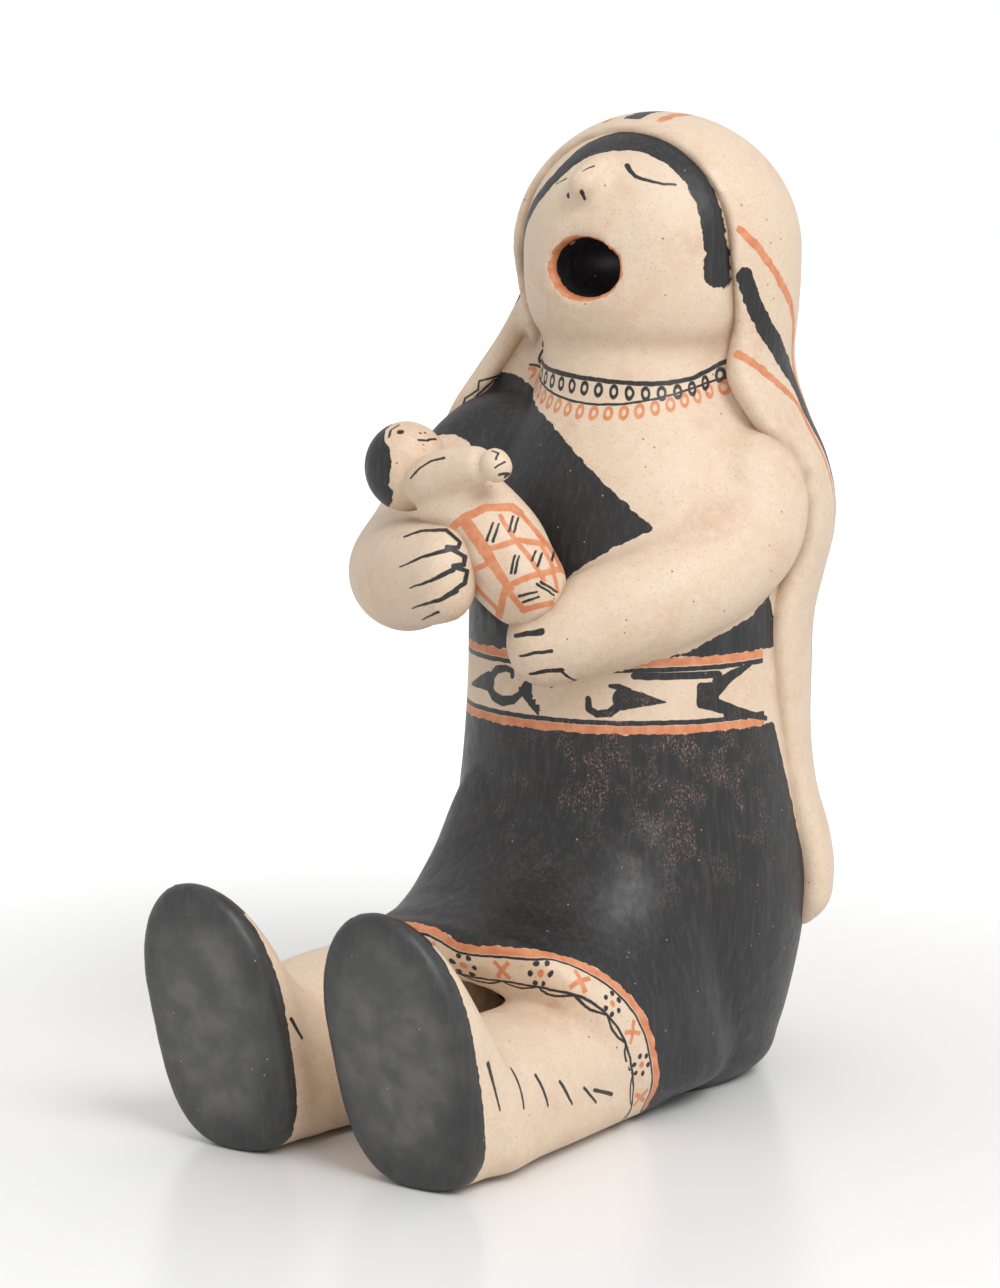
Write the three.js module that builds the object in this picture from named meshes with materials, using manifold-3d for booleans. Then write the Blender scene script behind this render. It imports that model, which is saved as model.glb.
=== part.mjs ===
// Seated pottery figure of a singing mother with a baby, one fired piece of clay.
// Millimetres, +Z up. The figure faces -Y, and its left hand is at +X.
// Every form is a closed loft in a frame whose origin is the middle of the trunk on the ground.
// The lofts are joined into one solid, then the mouth and the gap between the legs are cut.

import * as THREE from 'three';
import { mergeVertices } from 'three/addons/utils/BufferGeometryUtils.js';
import Module from 'manifold-3d';

// Driving dimensions
const TRUNK_TOP = 162;
const LEG_END = -26;
const SOLE_HEIGHT = 52.6;
const SOLE_HALF_WIDTH = 17.1;
const SOLE_FRONT = -97.8;
const SOLE_LEAN_FORWARD = 0.17;
const SOLE_LEAN_SIDEWAYS = 0.085;
const NEAR_LEG = { foot: 16.5, hip: 14, height: 26.5, ankle: 26, squareness: 2.05 };
const FAR_LEG = { foot: -29.3, hip: -20, height: 34.5, ankle: 31, squareness: 2.35 };
const HEAD = { centre: [1, 4, 172.5], radii: [25.5, 25, 24.5], jaw: 3.2 };
const HOOD = { centre: [0.6, 8.5, 171], turn: 3.5, half: 30, up: 28.6, down: 66, deep: 29 };
const HOOD_RIM = { angle: 63, thickness: 3.2, inside: 75, sunk: 8, slope: 0.24 };
const MOUTH = { centre: [1.6, -20.5, 168], wide: 8.3, high: 6.7, depth: 15 };
const CURTAIN = { bottom: 31.5, top: 170, squareness: 2.2 };
const YOKE = { bottom: 112, top: 158, overlap: 1.5 };
const ORIGIN = { x: -2.94, y: -31.14 };

// Fineness of the facets
const SIDES = { trunk: 28, lap: 24, leg: 18, limb: 14, head: 22, hood: 28, small: 8 };

// Body and skirt, by height: centre back, half width, depth in front, depth behind, squareness
const TRUNK_SECTIONS = [
  [0, 2, 24, 26, 22, 2.2],
  [3, 2, 27.5, 30, 26, 2.2],
  [10, 1.5, 30.4, 34, 29.4, 2.2],
  [20, 1, 33.6, 36, 32.6, 2.1],
  [32, 0.5, 36, 36, 35, 2.1],
  [44, 0.5, 37, 36, 36, 2.1],
  [56, 0, 35.8, 34.5, 35, 2.1],
  [70, 0, 34.2, 33.5, 34, 2.1],
  [84, 0, 33.2, 33, 33, 2.1],
  [100, 0, 33, 32.5, 33, 2.1],
  [116, 0.5, 32.5, 30.5, 33, 2.1],
  [128, 1.5, 30.5, 27.5, 32, 2.1],
  [135, 2.5, 27, 24.5, 29, 2],
  [141, 3.5, 22.8, 22, 25, 2],
  [148, 4, 20.8, 21, 22, 2],
  [TRUNK_TOP, 5, 20, 20, 22, 2],
];

// Lap, from the hem back: centre across, half width, height, share of the height that is
// the widest level, forward lean, squareness
const LAP_SECTIONS = [
  [-38, -3, 31, 33.5, 0.45, 0.66, 2.6],
  [-36.5, -3, 33, 37.5, 0.42, 0.64, 2.6],
  [-31, -2.8, 34.5, 41.5, 0.4, 0.58, 2.5],
  [-25, -2.5, 35, 45.5, 0.36, 0.45, 2.4],
  [-20, -2.3, 35.5, 53.5, 0.3, 0.33, 2.3],
  [-17, -1.8, 35, 63, 0.26, 0.26, 2.2],
  [-14, -1, 34, 74, 0.22, 0.22, 2.2],
  [-6, -0.5, 31, 84, 0.2, 0.15, 2.2],
];

// Gap between the legs under the hem, in the same columns
const GAP_SECTIONS = [
  [-60, -3, 14.5, 28, 0.5, 0, 2.4],
  [-34, -4, 12, 26, 0.5, 0, 2.4],
  [-18, -5, 7, 22, 0.5, 0, 2.2],
];

// Arms, from the shoulder: place, half thickness across, half thickness upwards
const NEAR_ARM = [
  [20, 6, 132, 11.5, 11.5],
  [26, 4, 126, 13, 13],
  [28, 0, 117, 13.2, 13.2],
  [27.3, -10, 110, 12.3, 12.3],
  [23.5, -21, 105, 11.5, 11.5],
  [16, -31, 100.3, 10.5, 10.5],
  [8.5, -38, 96.3, 8.8, 9.2],
  [3, -41, 94, 7.5, 8.5],
  [-0.5, -42, 93, 6.8, 7.5],
];
const FAR_ARM = [
  [-18, 2, 131, 12, 12],
  [-28, -5, 129, 13.2, 13.2],
  [-33.5, -16, 120, 12.3, 12.3],
  [-33.5, -27, 111.5, 11.6, 11.6],
  [-30.5, -36.5, 107.2, 11.6, 11.6],
  [-25, -43, 107, 11.3, 11.5],
  [-18, -48.5, 108.3, 9.5, 10.6],
  [-9, -53.2, 109.4, 5.8, 8.6],
];

// Baby: head, blanket, arm and fist, and the mother's nose
const BABY_HEAD = { centre: [-22.2, -47, 129.2], radii: [8.3, 8.5, 9], jaw: 2 };
const BABY_BLANKET = [
  [-17, -45.5, 126, 7.5, 8],
  [-11.5, -46, 123.5, 8.8, 8.6],
  [-5.5, -46, 119.5, 9.3, 9],
  [-1, -45.5, 114.5, 10, 9.6],
  [2, -44, 109.5, 10, 9],
  [4, -41, 105, 8.8, 8],
  [6, -37, 100.5, 7, 6.5],
];
const BABY_ARM = [
  [-17, -48.5, 124.5, 5, 5],
  [-12.5, -51.2, 127, 5.4, 5.2],
  [-7, -52.4, 129.2, 4.8, 4.8],
  [-1, -52.8, 130.8, 3.9, 3.9],
  [3, -52.6, 131.3, 3.2, 3.2],
];
const BABY_FIST = [
  [1.5, -53, 133, 2.7, 2.7],
  [4, -53.2, 131.4, 3.1, 3.1],
  [5.2, -52.5, 128, 3, 3],
];
const NOSE = [
  [2.5, -12.5, 190.5, 2.4, 2.4],
  [2, -16, 188.5, 2.8, 2.4],
  [1.4, -19, 186.3, 2.7, 2.4],
  [1.2, -20.8, 184.9, 2.3, 2.2],
];

// Shawl down the back, by height: centre back, half width near and far, depth behind,
// how far the near and far edges reach round from the back in degrees, thickness
const CURTAIN_SECTIONS = [
  [31.5, 3, 35, 35, 35.5, 66, 66, 5],
  [34, 3, 38, 38, 38, 68, 68, 6],
  [42, 3, 40.5, 40.5, 39.5, 70, 70, 7.5],
  [50, 3, 39.5, 39.5, 39, 72, 72, 7.5],
  [60, 2, 37, 37, 37.5, 75, 75, 6.5],
  [70, 2, 35.5, 35.5, 36.5, 78, 78, 6],
  [84, 2, 35.3, 35.3, 36.5, 82, 82, 6.5],
  [98, 2, 35.5, 35.5, 36.5, 84, 84, 6.5],
  [106, 3, 37, 38, 36.5, 82, 84, 6],
  [114, 4, 39, 42, 36.3, 80, 96, 6],
  [122, 4, 39.3, 44, 36, 80, 106, 6],
  [130, 4, 36.8, 44.5, 35, 84, 114, 6],
  [138, 5, 32.3, 42.5, 33.2, 90, 114, 6],
  [146, 6, 29.2, 37.5, 31.6, 96, 110, 6],
  [154, 7, 28.4, 32.5, 30.3, 98, 106, 5.5],
  [162, 8, 28.4, 29.8, 29, 98, 100, 5],
  [170, 8, 27, 27.5, 27.5, 96, 98, 5],
];

// A smooth curve through the rows of a table, read at t in its first column
function along(table, t) {
  const last = table.length - 1;
  const slope = (i, c) => (table[i + 1][c] - table[i][c]) / (table[i + 1][0] - table[i][0]);
  const tangent = (i, c) => {
    if (i === 0) return slope(0, c);
    if (i === last) return slope(last - 1, c);
    const before = table[i][0] - table[i - 1][0];
    const after = table[i + 1][0] - table[i][0];
    return (slope(i - 1, c) * after + slope(i, c) * before) / (before + after);
  };
  let i = 0;
  while (i < last - 1 && t > table[i + 1][0]) i += 1;
  const step = table[i + 1][0] - table[i][0];
  const s = (t - table[i][0]) / step;
  return table[0].slice(1).map((_, k) => {
    const c = k + 1;
    return (
      (2 * s ** 3 - 3 * s ** 2 + 1) * table[i][c] +
      (s ** 3 - 2 * s ** 2 + s) * step * tangent(i, c) +
      (3 * s ** 2 - 2 * s ** 3) * table[i + 1][c] +
      (s ** 3 - s ** 2) * step * tangent(i + 1, c)
    );
  });
}

const spread = (from, to, count) =>
  Array.from({ length: count }, (_, i) => from + ((to - from) * i) / (count - 1));

const power = (value, exponent) => Math.sign(value) * Math.abs(value) ** exponent;

const degrees = (angle) => (angle * Math.PI) / 180;

// A ring of points, one for each side
const ring = (sides, point) =>
  Array.from({ length: sides }, (_, i) => point((2 * Math.PI * i) / sides));

// A closed skin over rings with equal numbers of points, closed at both ends to their middles
function skin(rings) {
  const sides = rings[0].length;
  const points = rings.flat();
  const middle = (row) =>
    row.reduce((sum, p) => sum.add(p), new THREE.Vector3()).divideScalar(sides);
  points.push(middle(rings[0]), middle(rings[rings.length - 1]));
  const first = points.length - 2;
  const faces = [];
  for (let r = 0; r < rings.length - 1; r += 1) {
    for (let i = 0; i < sides; i += 1) {
      const a = r * sides + i;
      const b = r * sides + ((i + 1) % sides);
      faces.push(a, b, b + sides, a, b + sides, a + sides);
    }
  }
  const top = (rings.length - 1) * sides;
  for (let i = 0; i < sides; i += 1) {
    const next = (i + 1) % sides;
    faces.push(next, i, first, top + i, top + next, first + 1);
  }
  const geometry = new THREE.BufferGeometry().setFromPoints(points);
  geometry.setIndex(faces);
  return geometry;
}

// Level rings, one above the other
function standing(table, heights, sides) {
  return skin(
    heights.map((z) => {
      const [back, half, front, rear, square] = along(table, z);
      return ring(sides, (angle) => {
        const depth = Math.sin(angle) < 0 ? front : rear;
        const x = half * power(Math.cos(angle), 2 / square);
        return new THREE.Vector3(x, back + depth * power(Math.sin(angle), 2 / square), z);
      });
    }),
  );
}

// Upright arches, one behind the other, flat on the ground
function crossing(table, stations, sides, lean = () => 0) {
  const GROUND_SQUARENESS = 4;
  const SIDE_SQUARENESS = 3;
  return skin(
    stations.map((y) => {
      const [centre, half, height, share, forward, square] = along(table, y);
      const middle = height * share;
      return ring(sides, (angle) => {
        const up = Math.sin(angle) >= 0;
        const tall = up ? height - middle : middle;
        const bend = up ? square : Math.max(square, SIDE_SQUARENESS);
        const z = middle + tall * power(Math.sin(angle), 2 / (up ? square : GROUND_SQUARENESS));
        const place = y - forward * z;
        return new THREE.Vector3(
          centre + half * power(Math.cos(angle), 2 / bend) - lean(place, z), place, z);
      });
    }),
  );
}

// A round limb along a path, its two ends rounded off
function limb(path, sides, steps) {
  const UP = new THREE.Vector3(0, 0, 1);
  let run = 0;
  const table = path.map((row, i) => {
    if (i > 0) {
      run += Math.hypot(row[0] - path[i - 1][0], row[1] - path[i - 1][1], row[2] - path[i - 1][2]);
    }
    return [run, ...row];
  });
  const place = (t) => new THREE.Vector3(...along(table, t).slice(0, 3));
  const NUDGE = 0.5;
  const LEAST = 0.02;
  const fall = (distance, radius) => {
    const share = Math.min(distance / radius, 1);
    return Math.sqrt(Math.max(1 - (1 - share) ** 2, LEAST));
  };
  return skin(
    spread(0, run, steps).map((t) => {
      const [, , , across, upwards] = along(table, t);
      const ahead = place(Math.min(t + NUDGE, run)).sub(place(Math.max(t - NUDGE, 0))).normalize();
      const side = new THREE.Vector3().crossVectors(ahead, UP).normalize();
      const top = new THREE.Vector3().crossVectors(side, ahead);
      const scale = fall(t, path[0][3]) * fall(run - t, path[path.length - 1][3]);
      return ring(sides, (angle) =>
        place(t)
          .addScaledVector(side, scale * across * Math.cos(angle))
          .addScaledVector(top, scale * upwards * Math.sin(angle)),
      );
    }),
  );
}

// An egg, by its middle, its three half sizes and the squareness of its lower half
function egg({ centre, radii, jaw }, sides, steps) {
  const POLE = 0.05;
  return skin(
    spread(POLE, Math.PI - POLE, steps).map((fall) => {
      const bend = Math.cos(fall) > 0 ? 2 / jaw : 1;
      const wide = power(Math.sin(fall), bend);
      const low = power(Math.cos(fall), bend);
      return ring(sides, (angle) =>
        new THREE.Vector3(
          centre[0] + radii[0] * wide * Math.cos(angle),
          centre[1] + radii[1] * wide * Math.sin(angle),
          centre[2] - radii[2] * low,
        ),
      );
    }),
  );
}

// The sole, ankle and straight leg, as one row of arches
function leg({ foot, hip, height, ankle, squareness }) {
  const w = SOLE_HALF_WIDTH;
  const h = SOLE_HEIGHT;
  const lean = SOLE_LEAN_FORWARD;
  const shift = hip - foot;
  const table = [
    [SOLE_FRONT, foot, 0.6, h * 0.54, 0.99, lean, 2],
    [SOLE_FRONT + 0.25, foot, w * 0.4, h * 0.73, 0.74, lean, 2],
    [SOLE_FRONT + 0.7, foot, w * 0.7, h * 0.87, 0.63, lean, 2],
    [SOLE_FRONT + 1.4, foot, w * 0.88, h * 0.95, 0.585, lean, 2.05],
    [SOLE_FRONT + 2.6, foot, w * 0.97, h * 0.99, 0.565, lean, 2.05],
    [-92, foot, w, h, 0.56, lean, 2.05],
    [-89, foot, w, h * 0.95, 0.56, lean, 2.1],
    [-86, foot, w * 0.98, h * 0.81, 0.54, 0.16, 2.25],
    [-83, foot, 16.5, ankle + 4.5, 0.52, 0.12, 2.3],
    [-80, foot, 16.3, ankle + 1, 0.5, 0.08, 2.4],
    [-76, foot + 0.1 * shift, 16.2, ankle + 0.5, 0.5, 0.04, 2.4],
    [-70, foot + 0.3 * shift, 16.2, (ankle + height) / 2 + 0.5, 0.5, 0, squareness + 0.1],
    [-60, foot + 0.6 * shift, 16.4, height, 0.5, 0, squareness],
    [-40, hip, 16, height, 0.5, 0, squareness],
    [LEG_END, hip, 15.5, height, 0.5, 0, squareness],
  ];
  const stations = [
    ...[0, 0.25, 0.7, 1.4, 2.6, 4.5].map((step) => SOLE_FRONT + step),
    ...spread(-90, -75, 8),
    ...spread(-71, LEG_END, 6),
  ];
  const FOOT_REACH = 22;
  const sideways = (y, z) => {
    const share = Math.min(Math.max((-70 - y) / FOOT_REACH, 0), 1);
    return share ** 2 * (3 - 2 * share) * SOLE_LEAN_SIDEWAYS * (z - FOOT_REACH);
  };
  return crossing(table, stations, SIDES.leg, sideways);
}

// The hood, as rings about the way the face looks: inner wall, rounded rim, outer wall.
// Below the middle the rim runs back as it goes down.
function hood() {
  const rim = degrees(HOOD_RIM.angle);
  const turn = degrees(HOOD.turn);
  const lip = HOOD_RIM.thickness / 2;
  const LIP_STEPS = 3;
  const OUTER_STEPS = 14;
  const wall = (reach, shrink, forward) =>
    ring(SIDES.hood, (angle) => {
      const tall = Math.sin(angle) >= 0 ? HOOD.up : HOOD.down;
      const x = (HOOD.half - shrink) * Math.sin(reach) * Math.cos(angle);
      const z = (tall - shrink) * Math.sin(reach) * Math.sin(angle);
      const nearRim = Math.max(Math.cos(reach), 0) / Math.cos(rim);
      const back = -HOOD_RIM.slope * Math.min(z, 0) * nearRim;
      const y = back - (HOOD.deep - shrink) * Math.cos(reach) - forward;
      return new THREE.Vector3(
        HOOD.centre[0] + x * Math.cos(turn) - y * Math.sin(turn),
        HOOD.centre[1] + x * Math.sin(turn) + y * Math.cos(turn),
        HOOD.centre[2] + z,
      );
    });
  const inner = [wall(degrees(HOOD_RIM.inside), HOOD_RIM.sunk, 0), wall(rim, 2 * lip, 0)];
  const edge = spread(Math.PI, 0, LIP_STEPS + 2)
    .slice(1, -1)
    .map((a) => wall(rim, lip - lip * Math.cos(a), lip * Math.sin(a)));
  const outer = spread(rim, Math.PI - 0.04, OUTER_STEPS).map((a) => wall(a, 0, 0));
  return skin([...inner, ...edge, ...outer]);
}

// One level arc of the shawl round the back, made smaller by some of its thickness
function shawlArc(z, shrinkOf) {
  const ARC_STEPS = 15;
  const bend = 2 / CURTAIN.squareness;
  const [back, near, far, rear, nearEdge, farEdge, thick] = along(CURTAIN_SECTIONS, z);
  const shrink = shrinkOf(thick);
  return spread(degrees(nearEdge), -degrees(farEdge), ARC_STEPS).map((angle) => {
    const half = (angle >= 0 ? near : far) - shrink;
    const x = half * power(Math.sin(angle), bend);
    return new THREE.Vector3(x, back + (rear - shrink) * power(Math.cos(angle), bend), z);
  });
}

// Clay between the neck and the shawl, each level closed in front by a straight line
function yoke() {
  const LEVELS = 10;
  return skin(
    spread(YOKE.bottom, YOKE.top, LEVELS).map((z) => shawlArc(z, (thick) => thick - YOKE.overlap)),
  );
}

// The shawl below the hood: level sections, each a thick arc round the back with round ends
function curtain() {
  const END_STEPS = 2;
  const LEVELS = 23;
  return skin(
    spread(CURTAIN.bottom, CURTAIN.top, LEVELS).map((z) => {
      const outer = shawlArc(z, () => 0);
      const inner = shawlArc(z, (thick) => thick).reverse();
      const end = (from, to, before) => {
        const middle = from.clone().add(to).divideScalar(2);
        const half = from.clone().sub(to).divideScalar(2);
        const out = from.clone().sub(before).normalize().multiplyScalar(half.length());
        return spread(0, Math.PI, END_STEPS + 2)
          .slice(1, -1)
          .map((a) =>
            middle.clone().addScaledVector(half, Math.cos(a)).addScaledVector(out, Math.sin(a)),
          );
      };
      const farEnd = end(outer.at(-1), inner[0], outer.at(-2));
      const nearEnd = end(inner.at(-1), outer[0], inner.at(-2));
      return [...outer, ...farEnd, ...inner, ...nearEnd];
    }),
  );
}

// The mouth, as a tapering hollow
function mouthHollow() {
  const [x, y, z] = MOUTH.centre;
  const IN_FRONT = 6;
  const path = [
    [x, y - IN_FRONT, z, MOUTH.wide + 0.6, MOUTH.high + 0.6],
    [x, y, z, MOUTH.wide, MOUTH.high],
    [x, y + MOUTH.depth / 2, z + 0.5, MOUTH.wide - 0.6, MOUTH.high - 0.6],
    [x, y + MOUTH.depth, z + 1, MOUTH.wide - 2, MOUTH.high - 2],
  ];
  return limb(path, SIDES.limb, 9);
}

const wasm = await Module();
wasm.setup();

// The solid that a closed geometry encloses, its faces turned outwards
function solid(geometry) {
  const bare = geometry.clone();
  bare.deleteAttribute('normal');
  bare.deleteAttribute('uv');
  const merged = mergeVertices(bare, 1e-4);
  const vertProperties = new Float32Array(merged.attributes.position.array);
  const triVerts = new Uint32Array(merged.index.array);
  let volume = 0;
  const corner = (i) => new THREE.Vector3().fromArray(vertProperties, 3 * triVerts[i]);
  for (let i = 0; i < triVerts.length; i += 3) {
    volume += corner(i).dot(corner(i + 1).cross(corner(i + 2)));
  }
  if (volume < 0) triVerts.reverse();
  return new wasm.Manifold(new wasm.Mesh({ numProp: 3, vertProperties, triVerts }));
}

function geometryOf(manifold) {
  const mesh = manifold.getMesh();
  const geometry = new THREE.BufferGeometry();
  geometry.setAttribute('position', new THREE.BufferAttribute(mesh.vertProperties, 3));
  geometry.setIndex(new THREE.BufferAttribute(mesh.triVerts, 1));
  geometry.computeVertexNormals();
  return geometry;
}

// The parts of the body before anything is cut
const skirt = solid(standing(TRUNK_SECTIONS, spread(0, TRUNK_TOP, 25), SIDES.trunk))
  .add(solid(crossing(LAP_SECTIONS, spread(-38, -6, 13), SIDES.lap)))
  .subtract(solid(crossing(GAP_SECTIONS, spread(-60, -18, 5), SIDES.leg)));

const clay = [
  leg(NEAR_LEG),
  leg(FAR_LEG),
  hood(),
  curtain(),
  yoke(),
  limb(NEAR_ARM, SIDES.limb, 15),
  limb(FAR_ARM, SIDES.limb, 15),
  egg(HEAD, SIDES.head, 14),
  limb(NOSE, SIDES.small, 6),
  egg(BABY_HEAD, SIDES.limb, 11),
  limb(BABY_BLANKET, SIDES.limb, 12),
  limb(BABY_ARM, SIDES.small, 8),
  limb(BABY_FIST, SIDES.small, 6),
].reduce((whole, geometry) => whole.add(solid(geometry)), skirt);

const figure = clay.subtract(solid(mouthHollow()));

const CREAM_SLIP = new THREE.MeshStandardMaterial({ color: 0xd9c3a5, roughness: 0.62, metalness: 0 });

const mesh = new THREE.Mesh(geometryOf(figure), CREAM_SLIP);
mesh.name = 'pottery_figure';
mesh.position.set(-ORIGIN.x, -ORIGIN.y, 0);

const group = new THREE.Group();
group.add(mesh);

export default group;
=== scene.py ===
"""Seated pottery figure of a singing mother with her baby, in painted slip on fired clay.

The forms are lofts in millimetres, in the frame of the part's source: the middle of the trunk
on the ground, +Z up, the figure facing -Y and its left hand at +X. The row frame adds SHIFT.
"""

import logging
import math
from collections.abc import Callable
from dataclasses import dataclass, field
from enum import Enum

import bpy
import numpy as np
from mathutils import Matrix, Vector
from mathutils.bvhtree import BVHTree


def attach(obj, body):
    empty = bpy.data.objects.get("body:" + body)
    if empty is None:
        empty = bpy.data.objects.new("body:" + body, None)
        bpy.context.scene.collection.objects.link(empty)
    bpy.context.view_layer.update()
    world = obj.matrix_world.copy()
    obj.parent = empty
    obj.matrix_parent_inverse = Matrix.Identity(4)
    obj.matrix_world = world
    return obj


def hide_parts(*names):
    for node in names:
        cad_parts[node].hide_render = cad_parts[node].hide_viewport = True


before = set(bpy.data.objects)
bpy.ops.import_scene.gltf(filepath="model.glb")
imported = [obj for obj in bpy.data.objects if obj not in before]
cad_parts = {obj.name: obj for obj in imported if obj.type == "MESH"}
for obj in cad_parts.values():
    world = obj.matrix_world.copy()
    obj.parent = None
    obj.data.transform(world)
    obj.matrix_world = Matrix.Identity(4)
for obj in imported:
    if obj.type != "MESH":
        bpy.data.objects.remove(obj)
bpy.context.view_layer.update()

LOG = logging.getLogger("pottery_figure")

Surface = tuple[np.ndarray, list[tuple[int, ...]]]
Rows = list[tuple[float, ...]]
Pixels = tuple[tuple[float, float], ...] | list[tuple[float, float]]

SHIFT = np.array([2.94, 31.14, 0.0])
METRE = 0.001
# A distance that is plainly outside an area, and the squareness of the shawl's level sections
BEYOND = 9.0
SHAWL_SQUARE = 2.2


# Curves and lofts

def along(table: Rows, t: np.ndarray) -> np.ndarray:
    """Smooth curve through the rows of a table: cubic pieces whose slope at a row is the
    mean of the slopes on both sides, each weighted by the length of the other side.

    Args:
        table: rows whose first column is the parameter.
        t: parameters to read.
    Returns:
        One row of the other columns for each parameter.
    """
    rows = np.asarray(table, float)
    k, v = rows[:, 0], rows[:, 1:]
    step = np.diff(k)
    slope = np.diff(v, axis=0) / step[:, None]
    tangent = np.vstack([slope[:1], slope[-1:]]) if len(k) == 2 else np.vstack([
        slope[:1],
        (slope[:-1] * step[1:, None] + slope[1:] * step[:-1, None])
        / (step[:-1] + step[1:])[:, None],
        slope[-1:],
    ])
    t = np.asarray(t, float)
    i = np.clip(np.searchsorted(k, t, side="right") - 1, 0, len(k) - 2)
    s = ((t - k[i]) / step[i])[:, None]
    h = step[i][:, None]
    return (
        (2 * s**3 - 3 * s**2 + 1) * v[i]
        + (s**3 - 2 * s**2 + s) * h * tangent[i]
        + (3 * s**2 - 2 * s**3) * v[i + 1]
        + (s**3 - s**2) * h * tangent[i + 1]
    )


def distances(line: np.ndarray) -> np.ndarray:
    """How far along a line each of its places is."""
    return np.concatenate([[0], np.cumsum(np.linalg.norm(np.diff(line, axis=0), axis=1))])


def smooth_line(line: np.ndarray, steps: int) -> np.ndarray:
    """Smooth curve through a line's places, read at even steps of its length."""
    run = distances(line)
    return along(np.column_stack([run, line]).tolist(), np.linspace(0, run[-1], steps))


def power(value: np.ndarray, exponent: np.ndarray | float) -> np.ndarray:
    """The value's size to a power, with the value's own sign."""
    return np.sign(value) * np.abs(value) ** exponent


def turn_angles(sides: int) -> np.ndarray:
    """Angles of one full turn, evenly spread, as one row."""
    return np.linspace(0, 2 * np.pi, sides, endpoint=False)[None, :]


def smoothstep(low: float, high: float, value: np.ndarray) -> np.ndarray:
    """0 below low, 1 above high, and the curve 3 s^2 - 2 s^3 between them."""
    s = np.clip((value - low) / (high - low), 0, 1)
    return s * s * (3 - 2 * s)


def skin(rings: np.ndarray) -> Surface:
    """Closed skin over rings of points, each end closed to the middle of its ring.

    Args:
        rings: array of rings by points by 3.
    Returns:
        The points, and the faces turned outwards.
    """
    rows, sides, _ = rings.shape
    points = np.vstack([rings.reshape(-1, 3), rings[0].mean(0), rings[-1].mean(0)])
    i = np.arange(rows - 1)[:, None] * sides
    j = np.arange(sides)[None, :]
    n = (j + 1) % sides
    quads = np.stack([i + j, i + n, i + n + sides, i + j + sides], -1).reshape(-1, 4)
    j, n, top = j[0], n[0], (rows - 1) * sides
    low = np.stack([n, j, np.full(sides, rows * sides)], -1)
    high = np.stack([top + j, top + n, np.full(sides, rows * sides + 1)], -1)
    a, b, c = points[quads[:, 0]], points[quads[:, 1]], points[quads[:, 2]]
    d = points[quads[:, 3]]
    volume = (np.cross(b, c) * a).sum() + (np.cross(c, d) * a).sum()
    turned = slice(None, None, -1) if volume < 0 else slice(None)
    faces = quads[:, turned].tolist() + low[:, turned].tolist() + high[:, turned].tolist()
    return points, faces


def standing(table: Rows, heights: np.ndarray, sides: int) -> Surface:
    """Level rings one above the other: half width times the cosine to a power across, and the
    depth in front or behind times the sine to a power along Y.

    Args:
        table: height, middle along Y, half width, depth in front, depth behind, squareness.
        heights: the rings' levels.
        sides: points in each ring.
    Returns:
        The closed skin.
    """
    back, half, front, rear, square = along(table, heights).T[:, :, None]
    a = turn_angles(sides)
    bend = 2 / square
    depth = np.where(np.sin(a) < 0, front, rear)
    x = half * power(np.cos(a), bend)
    y = back + depth * power(np.sin(a), bend)
    return skin(np.stack([x, y, heights[:, None] + 0 * x], -1))


def crossing(
    table: Rows, stations: np.ndarray, sides: int, sideways: tuple[float, ...] = ()
) -> Surface:
    """Upright arches one behind the other, flat on the ground and leaning forward: each is a
    superellipse about its widest level, squarer below it.

    Args:
        table: station, centre, half width, height, share of the widest level, lean, squareness.
        stations: places along Y at ground level.
        sides: points in each arch.
        sideways: slope, pivot height, start and reach of a sideways lean of the front arches.
    Returns:
        The closed skin.
    """
    ground, side = 4.0, 3.0
    centre, half, height, share, forward, square = along(table, stations).T[:, :, None]
    a = turn_angles(sides)
    s, c = np.sin(a), np.cos(a)
    middle = height * share
    up = s >= 0
    rise = power(s, np.where(up, 2 / square, 2 / ground))
    z = middle + np.where(up, height - middle, middle) * rise
    x = centre + half * power(c, np.where(up, 2 / square, 2 / np.maximum(square, side)))
    y = stations[:, None] - forward * z
    if sideways:
        slope, pivot, start, reach = sideways
        x = x - smoothstep(0, 1, (start - y) / reach) * slope * (z - pivot)
    return skin(np.stack([x, y, z], -1))


def limb(path: Rows, sides: int, steps: int) -> Surface:
    """Round limb along a path, its ends rounded off: at a distance d from an end of radius r
    the section shrinks by the root of 1 - (1 - d / r)^2.

    Args:
        path: x, y, z, half thickness across, half thickness upwards.
        sides: points in each ring.
        steps: number of rings.
    Returns:
        The closed skin.
    """
    rows = np.asarray(path, float)
    run = distances(rows[:, :3])
    t = np.linspace(0, run[-1], steps)
    read = along(np.column_stack([run, rows]).tolist(), t)
    place, across, upwards = read[:, :3], read[:, 3], read[:, 4]
    ahead = np.gradient(place, axis=0)
    ahead /= np.linalg.norm(ahead, axis=1, keepdims=True)
    side = np.cross(ahead, [0.0, 0.0, 1.0])
    side /= np.linalg.norm(side, axis=1, keepdims=True)
    top = np.cross(side, ahead)
    least = 0.001
    fall = 1.0
    for distance, radius in ((t, rows[0, 3]), (run[-1] - t, rows[-1, 3])):
        share = np.minimum(distance / radius, 1)
        fall = fall * np.sqrt(np.maximum(1 - (1 - share) ** 2, least))
    a = turn_angles(sides)
    out = (fall * across)[:, None, None] * np.cos(a)[..., None] * side[:, None]
    rise = (fall * upwards)[:, None, None] * np.sin(a)[..., None] * top[:, None]
    return skin(place[:, None] + out + rise)


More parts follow.
